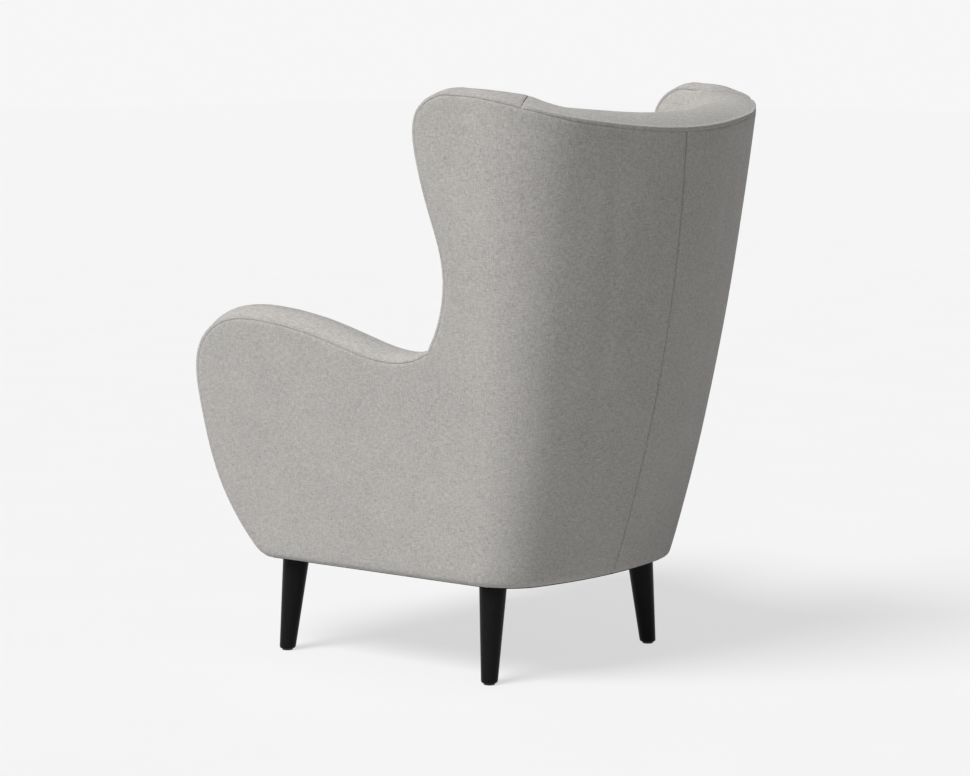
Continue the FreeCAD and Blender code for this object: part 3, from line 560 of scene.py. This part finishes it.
def wood(name, light, dark, layered=False):
    """Plain timber or layered plywood with grain along the board."""
    n = Nodes(name)
    place = n.add("ShaderNodeTexCoord").outputs["Object"]
    squeeze = (1.0, 1.0, 0.10) if layered else (0.10, 1.0, 1.0)
    long = n.add("ShaderNodeMapping", {"Vector": place, "Scale": squeeze})
    rings = n.add("ShaderNodeTexWave", {"Vector": long.outputs[0], "Scale": 26.0,
                                        "Distortion": 7.0, "Detail": 3.0,
                                        "Detail Scale": 2.0}).outputs["Fac"]
    pores = n.add("ShaderNodeTexNoise", {"Vector": long.outputs[0], "Scale": 380.0,
                                         "Detail": 3.0}).outputs["Fac"]
    mixed = n.math("ADD", n.math("MULTIPLY", rings, 0.6), n.math("MULTIPLY", pores, 0.4))
    colour = n.ramp(mixed, [(0.25, dark), (0.75, light)])
    relief = n.add("ShaderNodeBump", {"Height": mixed, "Strength": 0.15, "Distance": 0.0004})
    rough = n.add("ShaderNodeMapRange", {"Value": pores, 3: 0.55, 4: 0.78}).outputs["Result"]
    return n.finish(Base_Color=colour, Roughness=rough, Normal=relief.outputs[0])


def threads(name, light, dark, pitch, bump=0.4):
    """Coarse synthetic weave, as of webbing or the cloth under a seat."""
    n = Nodes(name)
    place = n.add("ShaderNodeTexCoord").outputs["Object"]
    cross = weave_height(n, place, pitch)
    fuzz = n.add("ShaderNodeTexNoise", {"Vector": place, "Scale": 500.0,
                                        "Detail": 3.0}).outputs["Fac"]
    mixed = n.math("ADD", n.math("MULTIPLY", cross, 0.5), n.math("MULTIPLY", fuzz, 0.5))
    colour = n.ramp(mixed, [(0.2, dark), (0.7, light)])
    relief = n.add("ShaderNodeBump", {"Height": cross, "Strength": bump, "Distance": 0.0005})
    rough = n.add("ShaderNodeMapRange", {"Value": fuzz, 3: 0.75, 4: 0.95}).outputs["Result"]
    return n.finish(Base_Color=colour, Roughness=rough, Normal=relief.outputs[0])


def hard(name, light, dark, low, high, metal=0.0):
    """Moulded plastic or plated steel with fine wear."""
    n = Nodes(name)
    place = n.add("ShaderNodeTexCoord").outputs["Object"]
    wear = n.add("ShaderNodeTexNoise", {"Vector": place, "Scale": 240.0,
                                        "Detail": 4.0}).outputs["Fac"]
    colour = n.ramp(wear, [(0.3, dark), (0.7, light)])
    rough = n.add("ShaderNodeMapRange", {"Value": wear, 3: low, 4: high}).outputs["Result"]
    relief = n.add("ShaderNodeBump", {"Height": wear, "Strength": 0.08, "Distance": 0.0003})
    n.shader.inputs["Metallic"].default_value = metal
    return n.finish(Base_Color=colour, Roughness=rough, Normal=relief.outputs[0])


cover_cloth = fabric("cover_fabric", srgb(190, 187, 183), srgb(128, 126, 123))
deck_cloth = threads("deck_fabric", srgb(172, 168, 163), srgb(128, 125, 121), 0.0013, 0.25)
black_lacquer = lacquer("black_lacquered_wood")
timber = wood("timber", srgb(214, 180, 132), srgb(176, 136, 90))
plywood = wood("plywood", srgb(222, 196, 152), srgb(188, 154, 110), True)
web = threads("webbing", srgb(74, 70, 66), srgb(34, 32, 30), 0.0026)
dust = threads("dust_cloth", srgb(38, 38, 39), srgb(20, 20, 21), 0.0015, 0.2)
plastic = hard("glide_plastic", srgb(44, 44, 46), srgb(30, 30, 31), 0.45, 0.6)
steel = hard("bolt_steel", srgb(196, 194, 188), srgb(150, 147, 140), 0.28, 0.5, 1.0)


def dress(obj, material, slot, body, *nodes):
    """Give a piece its material and body, and hide the CAD nodes it stands for. The slot is not
    used.
    """
    obj.data.materials.clear()
    obj.data.materials.append(material)
    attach(obj, body)
    if nodes:
        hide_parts(*nodes)
    return obj


# Outside covers

def cover_polygon():
    """(s, z) round the left outside cover, and the part of it along the rim."""
    rim = [tuple(p) for p in arm] + [tuple(p) for p in wing[1:]] + ear_side
    rim += [(row[0], row[1][2]) for row in ear_rows]
    rim += [(row[0], row[1][2]) for row in back_rows[1:]]
    top = resample(rim, STEP)
    middle = [(back_end(z), z) for z in np.arange(BACK_TOP[1], BOTTOM, -STEP)[1:]]
    below = resample([(back_end(BOTTOM), BOTTOM), (FOOT_REACH, BOTTOM)], STEP)
    return np.vstack([top, middle, below[:-1]]), top


cover_edge, cover_rim = cover_polygon()
q, p, normals, faces, edge_gap = fill(cover_edge, outside)
rim_gap = clear(p, outside(cover_rim[:, 0], cover_rim[:, 1]))
to_middle = back_end(q[:, 1]) - q[:, 0]
lift = seam_tuck(rim_gap) + seam_tuck(to_middle, 0.0020, 0.0022, 0.0008, 0.012)
# The lower edge is pulled under, a little unevenly, with faint gathers above it
under = q[:, 1] - BOTTOM
lift -= 0.0050 * np.exp(-(under / 0.0045) ** 1.3)
gather = wander(np.stack([q[:, 0] * 26, q[:, 1] * 3, 0 * under], -1), 1.0, 2)
lift += 0.0011 * gather * np.exp(-under / 0.045) * (under > 0.004)
# Slow swell of the wadding, and the soft edge of the post under the cloth beside the middle
lift += 0.0011 * wander(p, 5.5, 1) * np.clip(edge_gap / 0.08, 0, 1)
post = to_middle - (0.118 + 0.055 * (q[:, 1] - BOTTOM))
lift -= 0.0012 * np.exp(-(post / 0.016) ** 2) * np.clip(edge_gap / 0.10, 0, 1)
p = p + normals * lift[:, None]
p[:, 0] = np.maximum(p[:, 0], 0.0002)
for obj in both("cover", p, normals, faces, 0.0045):
    side = obj.name.split("_")[0]
    dress(obj, cover_cloth, "cover_fabric", "chair", side + "_outside_cover")


# Crowned bands along the rim

BESIDE_SEAM = np.array([0, 0.0009, 0.0018, 0.0028, 0.0040, 0.0054, 0.0075, 0.0105, 0.0150])


def tube_faces(n, m):
    """Faces of a tube of n rings with m points each, closed at both ends."""
    quads = [(i * m + j, i * m + (j + 1) % m, (i + 1) * m + (j + 1) % m, (i + 1) * m + j)
             for i in range(n - 1) for j in range(m)]
    return quads + [tuple(range(m))[::-1], tuple((n - 1) * m + j for j in range(m))]


def band(name, outer, inner, crowns, joint_normal=None, end_tucks=(True, True)):
    """Closed crowned strip between the outer and the inner seam, with a lip along them.

    An end that has no cross seam turns under, as at the foot of an arm.
    """
    outer, inner = np.asarray(outer), np.asarray(inner)
    along = np.gradient((outer + inner) / 2, axis=0)
    side = inner - outer
    width = np.linalg.norm(side, axis=1)
    normal = np.cross(along, side)
    normal /= np.linalg.norm(normal, axis=1)[:, None]
    way = way_along((outer + inner) / 2)
    if joint_normal is not None:
        fix, at_end = joint_normal
        away = way[-1] - way if at_end else way
        mix = np.exp(-(away / 0.012) ** 1.5)[:, None]
        normal = normal * (1 - mix) + np.asarray(fix) * mix
        normal /= np.linalg.norm(normal, axis=1)[:, None]
    side = side / width[:, None]
    rows = []
    for i in range(len(outer)):
        w = width[i]
        d = np.concatenate([BESIDE_SEAM, np.linspace(0.021, w - 0.021, 11),
                            w - BESIDE_SEAM[::-1]])
        t = d / w
        near = np.minimum(d, w - d)
        h = crowns[i] * (1 - np.abs(2 * t - 1) ** 2.15)
        lip = np.exp(-((near - 0.0030) / 0.0018) ** 2)
        h = h + 0.0006 - 0.0030 * np.exp(-(near / 0.0013) ** 2) + 0.0007 * lip
        end = 1.0
        if end_tucks[0]:
            end = min(end, 1 - math.exp(-(way[i] / 0.0035) ** 1.4))
        if end_tucks[1]:
            end = min(end, 1 - math.exp(-((way[-1] - way[i]) / 0.0035) ** 1.4))
        h = h - 0.0016 * (1 - end)
        foot = 0.0 if end_tucks[0] else math.exp(-(way[i] / 0.011) ** 1.5)
        h = h - foot * (0.75 * np.maximum(h, 0) + 0.0018)
        out = 0.0022 * lip * end * (1 - foot) - 0.0040 * foot * np.exp(-near / 0.02)
        out *= np.where(t < 0.5, -1, 1)
        ring = outer[i] + side[i] * (d + out)[:, None] + normal[i] * h[:, None]
        base = [inner[i] - normal[i] * 0.005 - side[i] * 0.004,
                outer[i] - normal[i] * 0.005 + side[i] * 0.004]
        rows.append(np.vstack([ring, base]))
    rows = np.array(rows)
    n, m = rows.shape[:2]
    free = slice(len(BESIDE_SEAM), -len(BESIDE_SEAM) - len(base))
    sway = (wander(rows[:, free].reshape(-1, 3), 16.0, 5) * 0.0005).reshape(n, -1, 1)
    rows[:, free] += normal[:, None] * sway
    return mesh_object(name, to_object(rows.reshape(-1, 3)), tube_faces(n, m))


def outward_faces(obj):
    bm = bmesh.new()
    bm.from_mesh(obj.data)
    bmesh.ops.recalc_face_normals(bm, faces=bm.faces)
    bm.to_mesh(obj.data)
    bm.free()
    return obj


arm_outer, arm_inner = across(resample(arm, 0.005))
wing_outer, wing_inner = across(resample(wing, 0.005))
ear_outer, ear_inner = across(ear_side)
ear_outer = np.vstack([wing_outer, ear_outer, [row[1] for row in ear_rows]])
ear_inner = np.vstack([wing_inner, ear_inner, [row[2] for row in ear_rows]])


def rings(outer, inner, step=0.0065, fine=(0.0015, 0.0035, 0.0065)):
    """Rim lines about a step apart, with finer ones next to both ends."""
    rows = resample(np.hstack([outer, inner]), 0.0005)
    way = way_along(rows[:, :3] + rows[:, 3:]) / 2
    count = int((way[-1] - 2 * fine[-1]) / step)
    at = np.concatenate([[0], fine[:-1], np.linspace(fine[-1], way[-1] - fine[-1], count),
                         way[-1] - np.array(fine[-2::-1]), [way[-1]]])
    even = np.stack([np.interp(at, way, rows[:, k]) for k in range(6)], -1)
    return even[:, :3], even[:, 3:]


ear_outer, ear_inner = rings(ear_outer, ear_inner)
arm_outer, arm_inner = rings(arm_outer, arm_inner)
left_rows = np.array([np.hstack([row[1], row[2]]) for row in back_rows])
right_rows = left_rows * np.array([-1, 1, 1, -1, 1, 1])
top_rows = np.vstack([right_rows, left_rows[::-1][1:]])[::-1]
top_outer, top_inner = rings(top_rows[:, :3], top_rows[:, 3:])
into_arm = arm[-1] - arm[-2]
into_wing = wing[1] - wing[0]
joint = np.array([0, -into_arm[1], into_arm[0]]) / np.linalg.norm(into_arm)
joint = joint + np.array([0, -into_wing[1], into_wing[0]]) / np.linalg.norm(into_wing)
joint = joint / np.linalg.norm(joint)
top_share = (top_outer[:, 0] / top_outer[0, 0]) ** 2
# The arm is fullest from its nose to past its crest
arm_way = np.linspace(0, 1, len(arm_outer))
fullest = np.clip(arm_way / 0.35, 0, 1) * np.clip((1 - arm_way) / 0.30, 0, 1)
arm_crowns = ARM_CROWN + ARM_FULLNESS * fullest
bands = [("arm_band", arm_outer, arm_inner, arm_crowns, (joint, True), (False, True)),
         ("wing_band", ear_outer, ear_inner,
          np.linspace(ARM_CROWN, EAR_CROWN, len(ear_outer)), (joint, False), (True, True))]
for name, outer, inner, crowns, fix, tucks in bands:
    for side, flip in (("left_", 1), ("right_", -1)):
        obj = band(side + name, outer, inner, crowns, fix, tucks)
        if flip < 0:
            for vertex in obj.data.vertices:
                vertex.co.x *= -1
        outward_faces(obj)
        dress(obj, cover_cloth, "cover_fabric", "chair", side + name)
obj = outward_faces(band("back_top_band", top_outer, top_inner,
                         BACK_CROWN + (EAR_CROWN - BACK_CROWN) * top_share))
dress(obj, cover_cloth, "cover_fabric", "chair", "top_band")


# Inside padding

def seam_shift(z):
    """How far behind the corner the seam between wing and back lies."""
    return 0.041 * (z - RAIL_TOP) / 0.74


def seat_line(y):
    """Height of the webbing's top at y, as (y, z) coordinates run."""
    return RAIL_TOP + WEBBING_ROOM - (y - RAIL_FACE) * math.tan(TILT)


def pad_lift(gap, z, crown, spread):
    """Fullness of a pad: little beside the cushion and full above it."""
    free = np.clip((z - 0.46) / 0.10, 0, 1)
    full = (0.0012 + (crown - 0.0012) * free) * (1 - np.exp(-(gap / spread) ** 1.3))
    return full + seam_tuck(gap, 0.0028, 0.0032, 0.0, 0.02)


def corner_y(z):
    return room_corner(z)[1]


def arm_polygon():
    """(s, z) round the inside of the arm, s measured from the room's corner."""
    points = [(y - corner_y(z), z) for y, z in arm]
    high = JUNCTION[1]
    points += [(s, high) for s in np.arange(points[-1][0] + STEP, seam_shift(high), STEP)]
    low = seat_line(corner_y(RAIL_TOP))
    points += [(seam_shift(z), z) for z in np.arange(high, low, -STEP)]
    points += [(y - corner_y(seat_line(y)), seat_line(y))
               for y in np.arange(corner_y(low) - STEP, RAIL_FACE, -STEP)]
    points += [(RAIL_FACE - corner_y(z), z)
               for z in np.arange(seat_line(RAIL_FACE), BOTTOM, -STEP)]
    return np.array(points + [(RAIL_FACE - 0.006 - corner_y(BOTTOM), BOTTOM)])


def towards_room(points, normals):
    """Normals turned to face the sitter."""
    middle = np.array([0, 0.0, 0.6])
    flip = np.sign(np.sum((middle - points) * normals, axis=1))
    return normals * flip[:, None]


q, p, normals, faces, gap = fill(arm_polygon(), round_inside)
normals = towards_room(p, normals)
p = p + normals * (pad_lift(gap, p[:, 2], 0.0085, 0.030)
                   + 0.0008 * wander(p, 7.0, 3) * np.clip(gap / 0.05, 0, 1))[:, None]
for obj in both("arm_cushioning", p, normals, faces, 0.030):
    side = obj.name.split("_")[0]
    dress(obj, cover_cloth, "inside_fabric", "chair", side + "_arm_pad")


def wing_polygon():
    """(s, z) round the inside of the wing and ear, s measured from the room's corner."""
    points = [(y - corner_y(z), z) for y, z in wing]
    points += [(y - corner_y(z), z) for y, z in ear_side]
    for row in ear_rows:
        x, y, z = row[2]
        cx, cy = room_corner(z)
        on_side = y < cy + 1e-4 and x > cx - 1e-3
        points.append((y - cy if on_side else cx - x, z))
    points += [(seam_shift(z), z) for z in np.arange(points[-1][1] - STEP, JUNCTION[1], -STEP)]
    first = JUNCTION[0] - corner_y(JUNCTION[1])
    points += [(s, JUNCTION[1]) for s in np.arange(seam_shift(JUNCTION[1]), first + STEP, -STEP)]
    return resample(points, STEP)


q, p, normals, faces, gap = fill(wing_polygon(), round_inside)
normals = towards_room(p, normals)
p = p + normals * (pad_lift(gap, p[:, 2], 0.0075, 0.030)
                   + 0.0007 * wander(p, 7.0, 4) * np.clip(gap / 0.05, 0, 1))[:, None]
for obj in both("wing_cushioning", p, normals, faces, 0.020):
    side = obj.name.split("_")[0]
    dress(obj, cover_cloth, "inside_fabric", "chair", side + "_wing_pad")


def back_polygon():
    """(x, z) round the inside of the back."""
    rim = [(row[2][0], row[2][2]) for row in back_rows]
    bottom = seat_line(0.18)
    side = [(room_corner(z)[0] - seam_shift(z), z)
            for z in np.arange(rim[0][1], bottom, -STEP)[1:]]
    ring = side[::-1] + rim
    ring += [(-x, z) for x, z in rim[::-1][1:] + side]
    low = side[-1]
    ring += [(x, low[1]) for x in np.arange(-low[0] + STEP, low[0], STEP)]
    return np.array(ring)


q, p, normals, faces, gap = fill(back_polygon(), inside_back)
normals = towards_room(p, normals)
waist = np.exp(-((p[:, 2] - 0.62) / 0.10) ** 2)
p = p + normals * (pad_lift(gap, p[:, 2], 0.016, 0.055) + 0.004 * waist * np.clip(gap / 0.1, 0, 1)
                   + 0.0010 * wander(p, 6.0, 6) * np.clip(gap / 0.05, 0, 1))[:, None]
obj = dress(shell("back_cushioning", p, normals, faces, 0.040), cover_cloth, "inside_fabric",
            "chair", "inside_back_pad")


# Border under the cushion and the deck behind it

def border():
    rise = DECK - BOTTOM
    ring = []
    for t in np.linspace(0, 1, 26):
        z = BOTTOM + rise * t
        swell = 0.0055 * (1 - abs(2 * t - 1) ** 3.0) - 0.002
        ring.append((front_reach(z) + BORDER_SETBACK - swell, z))
    ring[0] = (ring[0][0] + 0.004, ring[0][1])
    ring += [(y, DECK - 0.0005) for y in np.linspace(ring[-1][0] + 0.006, RAIL_FACE, 6)]
    ring += [(RAIL_FACE, z) for z in np.linspace(DECK - 0.012, BOTTOM, 7)]
    ring = np.array(ring)
    columns = []
    for u in np.sin(np.linspace(-math.pi / 2, math.pi / 2, 70)):
        half = room_x(ring[:, 0], ring[:, 1]) - 0.0015
        edge = 1 - abs(u)
        tuck = 0.004 * np.exp(-edge * 0.5 / 0.010)
        y = ring[:, 0] + np.where(ring[:, 0] < RAIL_FACE - 0.001, tuck, 0)
        column = np.stack([u * half, y, ring[:, 1]], -1)
        column[:26, 1] += 0.0006 * wander(column[:26], 14.0, 7)
        columns.append(column)
    columns = np.array(columns)
    return outward_faces(mesh_object("front_panel", to_object(columns.reshape(-1, 3)),
                                     tube_faces(*columns.shape[:2])))


obj = dress(border(), cover_cloth, "inside_fabric", "chair", "front_border")


def deck_surface(x, y):
    return np.stack([x + 0 * y, y + 0 * x, DECK - (y - RAIL_FACE) * math.tan(TILT) + 0 * x], -1)


def deck_polygon():
    cx, cy = room_corner(DECK - 0.02)
    side = [(room_x(y, DECK) - 0.0025, y) for y in np.arange(RAIL_FACE, cy - 0.004, 0.012)]
    back = [(x, float(room_y(x, DECK - 0.02)) - 0.0035) for x in np.arange(cx - 0.006, 0, -0.012)]
    half = side + back + [(0, float(room_y(0, DECK - 0.02)) - 0.0035)]
    ring = half + [(-x, y) for x, y in half[::-1][1:]]
    front = np.arange(ring[-1][0] + 0.012, ring[0][0] - 0.006, 0.012)
    return np.array(ring + [(x, RAIL_FACE) for x in front])


q, p, normals, faces, gap = fill(deck_polygon(), deck_surface, 0.014)
up = np.tile([0.0, 0.0, 1.0], (len(p), 1))
seam = p[:, 1] - (RAIL_FACE + 0.10)
drop = -0.0030 * np.exp(-(gap / 0.005) ** 1.3) - 0.0016 * np.exp(-(seam / 0.004) ** 2)
drop -= 0.0012 * (0.5 + 0.5 * wander(p, 9.0, 8))
obj = shell("deck_cushioning", p + up * drop[:, None], up, faces, 0.030)
dress(obj, deck_cloth, "deck_fabric", "chair", "seat_deck")


# Loose seat cushion

def seat_cushion():
    """Boxed cushion, swollen by a short cloth simulation and held inside its own room."""
    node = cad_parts["seat_cushion"]
    mesh = node.data.copy()
    mesh.name = "loose_seat_cushion"
    obj = bpy.data.objects.new("loose_seat_cushion", mesh)
    bpy.context.scene.collection.objects.link(obj)
    lo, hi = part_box("seat_cushion")
    middle = (Vector(lo) + Vector(hi)) / 2
    size = Vector(hi) - Vector(lo)
    for v in mesh.vertices:
        for k in range(3):
            v.co[k] = middle[k] + (v.co[k] - middle[k]) * (1 - 0.012 / size[k])
    bpy.context.view_layer.objects.active = obj
    bpy.ops.object.select_all(action="DESELECT")
    obj.select_set(True)
    remesh = obj.modifiers.new("Remesh", "REMESH")
    remesh.mode = "VOXEL"
    remesh.voxel_size = 0.0075
    bpy.ops.object.modifier_apply(modifier=remesh.name)
    rest = np.array([v.co for v in obj.data.vertices])
    cloth = obj.modifiers.new("Cloth", "CLOTH")
    settings = cloth.settings
    settings.use_pressure = True
    settings.uniform_pressure_force = 4.0
    settings.effector_weights.gravity = 0.0
    settings.quality = 5
    cloth.collision_settings.use_collision = False
    cloth.point_cache.frame_end = 20
    for at in range(1, 21):
        bpy.context.scene.frame_set(at)
    shaped = obj.evaluated_get(bpy.context.evaluated_depsgraph_get()).to_mesh()
    now = np.array([v.co for v in shaped.vertices])
    obj.evaluated_get(bpy.context.evaluated_depsgraph_get()).to_mesh_clear()
    obj.modifiers.remove(cloth)
    bpy.context.scene.frame_set(1)
    move = now - rest
    far = np.linalg.norm(move, axis=1)
    rest = rest + move * np.minimum(1, 0.014 / np.maximum(far, 1e-6))[:, None]
    # Held clear of the arms, the back and the deck, and crowned where it is free
    y = rest[:, 1] + MIDDLE
    limit = room_x(y, rest[:, 2]) - 0.0035
    rest[:, 0] = np.clip(rest[:, 0], -limit, limit)
    rest[:, 1] = np.minimum(rest[:, 1], room_y(rest[:, 0], rest[:, 2]) - 0.0050 - MIDDLE)
    rest[:, 1] = np.maximum(rest[:, 1], lo[1] - 0.006)
    deck_top = DECK - (rest[:, 1] + MIDDLE - RAIL_FACE) * math.tan(TILT) + 0.0008
    rest[:, 2] = np.maximum(rest[:, 2], deck_top)
    widthwise = np.clip(1 - (rest[:, 0] / (0.5 * size[0])) ** 2, 0, 1)
    lengthwise = np.clip(1 - ((rest[:, 1] - middle[1]) / (0.5 * size[1])) ** 2, 0, 1)
    upper = np.clip((rest[:, 2] - middle[2]) / (0.5 * size[2]), 0, 1)
    rest[:, 2] += 0.005 * np.sqrt(widthwise * lengthwise) * upper
    obj.data.vertices.foreach_set("co", rest.astype(np.float32).ravel())
    obj.data.update()
    smooth = obj.modifiers.new("Smooth", "SMOOTH")
    smooth.factor = 0.5
    smooth.iterations = 3
    bpy.ops.object.modifier_apply(modifier=smooth.name)
    finer = obj.modifiers.new("Subdivision", "SUBSURF")
    finer.levels = finer.render_levels = 1
    bpy.ops.object.modifier_apply(modifier=finer.name)
    return obj


def cushion_welts(cushion):
    """Sewn lips along the top and bottom edges of the border, laid on the swollen cushion."""
    tree = BVHTree.FromObject(cushion, bpy.context.evaluated_depsgraph_get())
    lo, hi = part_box("seat_cushion")
    centre = Vector((0, (lo[1] + hi[1]) / 2, 0))
    made = []
    for level in (0.010, 0.100):
        ring = []
        for k in range(520):
            angle = 2 * math.pi * k / 520
            way = Vector((math.cos(angle), math.sin(angle), 0))
            start = centre.copy()
            for turn in range(3):
                y = start.y + MIDDLE if turn else MIDDLE
                start.z = DECK + level - (y - RAIL_FACE) * math.tan(TILT)
                hit = tree.ray_cast(Vector((0, centre.y, start.z)) + way * 0.8, -way, 0.9)
                if hit[0] is not None:
                    start = hit[0].copy()
            ring.append((start, hit[1] if hit[1] is not None else way))
        made.append(ring)
    points, quads = [], []
    m = 8
    for ring in made:
        base = len(points)
        places = np.array([tuple(r[0]) for r in ring])
        for _ in range(4):
            places = (np.roll(places, 1, 0) + 2 * places + np.roll(places, -1, 0)) / 4
        for k, (place, normal) in enumerate(ring):
            along = Vector(places[(k + 1) % len(ring)] - places[k - 1]).normalized()
            out = (normal - along * normal.dot(along)).normalized()
            up = out.cross(along).normalized()
            for j in range(m):
                a = 2 * math.pi * j / m
                points.append(Vector(places[k]) + out * (0.0024 * math.cos(a) + 0.0002)
                              + up * 0.0028 * math.sin(a))
        n = len(ring)
        quads += [(base + k * m + j, base + k * m + (j + 1) % m,
                   base + ((k + 1) % n) * m + (j + 1) % m, base + ((k + 1) % n) * m + j)
                  for k in range(n) for j in range(m)]
    return outward_faces(mesh_object("cushion_welts", points, quads))


cushion = seat_cushion()
cushion.data.polygons.foreach_set("use_smooth", [True] * len(cushion.data.polygons))
dress(cushion, cover_cloth, "cushion_fabric", "cushion", "seat_cushion")
dress(cushion_welts(cushion), cover_cloth, "cushion_fabric", "cushion")


# Legs

FRONT_FOOT, REAR_FOOT = (0.2800, -0.2297), (0.2203, 0.2297)


def leg(name, foot, sign_x):
    """Round tapered leg with a softly rounded foot, splayed outwards."""
    top = Vector((foot[0] - 0.018, foot[1] - math.copysign(0.0075, foot[1]), BOTTOM))
    low = Vector((foot[0], foot[1], 0.003))
    rows = []
    for t, r in [(0.0, 0.0100), (0.0, 0.0118), (0.003, 0.0136), (0.010, 0.01465),
                 (0.022, 0.0152)] + [(t, 0.015 + 0.010 * t) for t in np.linspace(0.05, 1.0, 24)]:
        centre = low.lerp(top, t)
        rows.append([(sign_x * (centre.x + r * math.cos(a)), centre.y + r * math.sin(a) - MIDDLE,
                      centre.z) for a in np.linspace(0, 2 * math.pi, 65)[:-1]])
    points = [v for row in rows for v in row]
    return outward_faces(mesh_object(name, points, tube_faces(len(rows), len(rows[0]))))


for name, foot, sign_x in (("front_left_leg", FRONT_FOOT, 1), ("front_right_leg", FRONT_FOOT, -1),
                           ("rear_left_leg", REAR_FOOT, 1), ("rear_right_leg", REAR_FOOT, -1)):
    dress(leg(name, foot, sign_x), black_lacquer, "black_lacquered_wood", "chair", "legs")


# CAD nodes that keep their own shape
kept = {"glides": plastic, "hanger_bolts": steel, "threaded_inserts": steel, "dust_cover": dust,
        "seat_webbing": web, "back_webbing": web, "left_side_panel": plywood,
        "right_side_panel": plywood, "left_wing_panel": plywood, "right_wing_panel": plywood}
for name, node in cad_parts.items():
    if not node.hide_render:
        node.data.materials.clear()
        node.data.materials.append(kept.get(name, timber))


# Floor, light and camera
floor = mesh_object("floor", [(-30, -30, 0), (30, -30, 0), (30, 30, 0), (-30, 30, 0)],
                    [(0, 1, 2, 3)], False)
n = Nodes("floor_paper")
grain = n.add("ShaderNodeTexNoise", {"Vector": n.add("ShaderNodeTexCoord").outputs["Object"],
                                     "Scale": 3.0}).outputs["Fac"]
tone = n.ramp(grain, [(0.3, srgb(207, 207, 207)), (0.7, srgb(210, 210, 210))])
paper = n.finish(Base_Color=tone, Roughness=0.9)
glow = n.add("ShaderNodeEmission", {"Color": srgb(255, 255, 255), "Strength": 1.0}).outputs[0]
path = n.add("ShaderNodeLightPath").outputs
seen = n.math("MAXIMUM", path["Is Camera Ray"],
              n.math("MAXIMUM", path["Is Glossy Ray"], path["Is Transmission Ray"]))
seen = n.math("MULTIPLY", seen, 0.65)
mixed = n.add("ShaderNodeMixShader", {0: seen, 1: n.shader.outputs[0], 2: glow}).outputs[0]
n.tree.links.new(mixed, n.tree.nodes["Material Output"].inputs["Surface"])
floor.data.materials.append(paper)

world = bpy.data.worlds.new("studio")
bpy.context.scene.world = world
world.use_nodes = True
tree = world.node_tree
tree.nodes.clear()
path = tree.nodes.new("ShaderNodeLightPath")
direct = tree.nodes.new("ShaderNodeMath")
direct.operation = "MAXIMUM"
tree.links.new(path.outputs["Is Camera Ray"], direct.inputs[0])
tree.links.new(path.outputs["Is Glossy Ray"], direct.inputs[1])
seen = tree.nodes.new("ShaderNodeMath")
seen.operation = "MAXIMUM"
tree.links.new(direct.outputs[0], seen.inputs[0])
tree.links.new(path.outputs["Is Transmission Ray"], seen.inputs[1])
ambient = tree.nodes.new("ShaderNodeBackground")
ambient.inputs["Color"].default_value = (1, 1, 1, 1)
ambient.inputs["Strength"].default_value = 0.08
white = tree.nodes.new("ShaderNodeBackground")
white.inputs["Color"].default_value = srgb(246, 246, 246)
white.inputs["Strength"].default_value = 1.0
pick = tree.nodes.new("ShaderNodeMixShader")
tree.links.new(seen.outputs[0], pick.inputs[0])
tree.links.new(ambient.outputs[0], pick.inputs[1])
tree.links.new(white.outputs[0], pick.inputs[2])
out = tree.nodes.new("ShaderNodeOutputWorld")
tree.links.new(pick.outputs[0], out.inputs["Surface"])


def sun(name, direction, angle, strength):
    data = bpy.data.lights.new(name, "SUN")
    data.angle = math.radians(angle)
    data.energy = strength
    obj = bpy.data.objects.new(name, data)
    bpy.context.scene.collection.objects.link(obj)
    obj.rotation_mode = "QUATERNION"
    obj.rotation_quaternion = (-Vector(direction)).to_track_quat("-Z", "Y")


sun("key", (0.64, -0.11, 0.81), 30, 4.12)
sun("fill", (-0.80, 0.10, 0.60), 60, 0.05)

PHOTO_WIDTH, FOCAL_PIXELS = 970.0, 2637.13
AZIMUTH, YAW, PITCH = 133.0447, 133.0447 - 0.1228, 7.6308
DISTANCE, HEIGHT = 4.8762, 1.1398

camera = bpy.data.cameras.new("camera")
camera.sensor_width = 36.0
camera.lens = FOCAL_PIXELS * 36.0 / PHOTO_WIDTH
view = bpy.data.objects.new("camera", camera)
bpy.context.scene.collection.objects.link(view)
azimuth, yaw, pitch = math.radians(AZIMUTH), math.radians(YAW), math.radians(PITCH)
view.location = (DISTANCE * math.sin(azimuth), -DISTANCE * math.cos(azimuth) - MIDDLE, HEIGHT)
ahead = Vector((-math.sin(yaw) * math.cos(pitch), math.cos(yaw) * math.cos(pitch),
                -math.sin(pitch)))
view.rotation_mode = "QUATERNION"
view.rotation_quaternion = ahead.to_track_quat("-Z", "Y")
bpy.context.scene.camera = view
bpy.context.scene.view_settings.view_transform = "Standard"

bpy.context.view_layer.update()
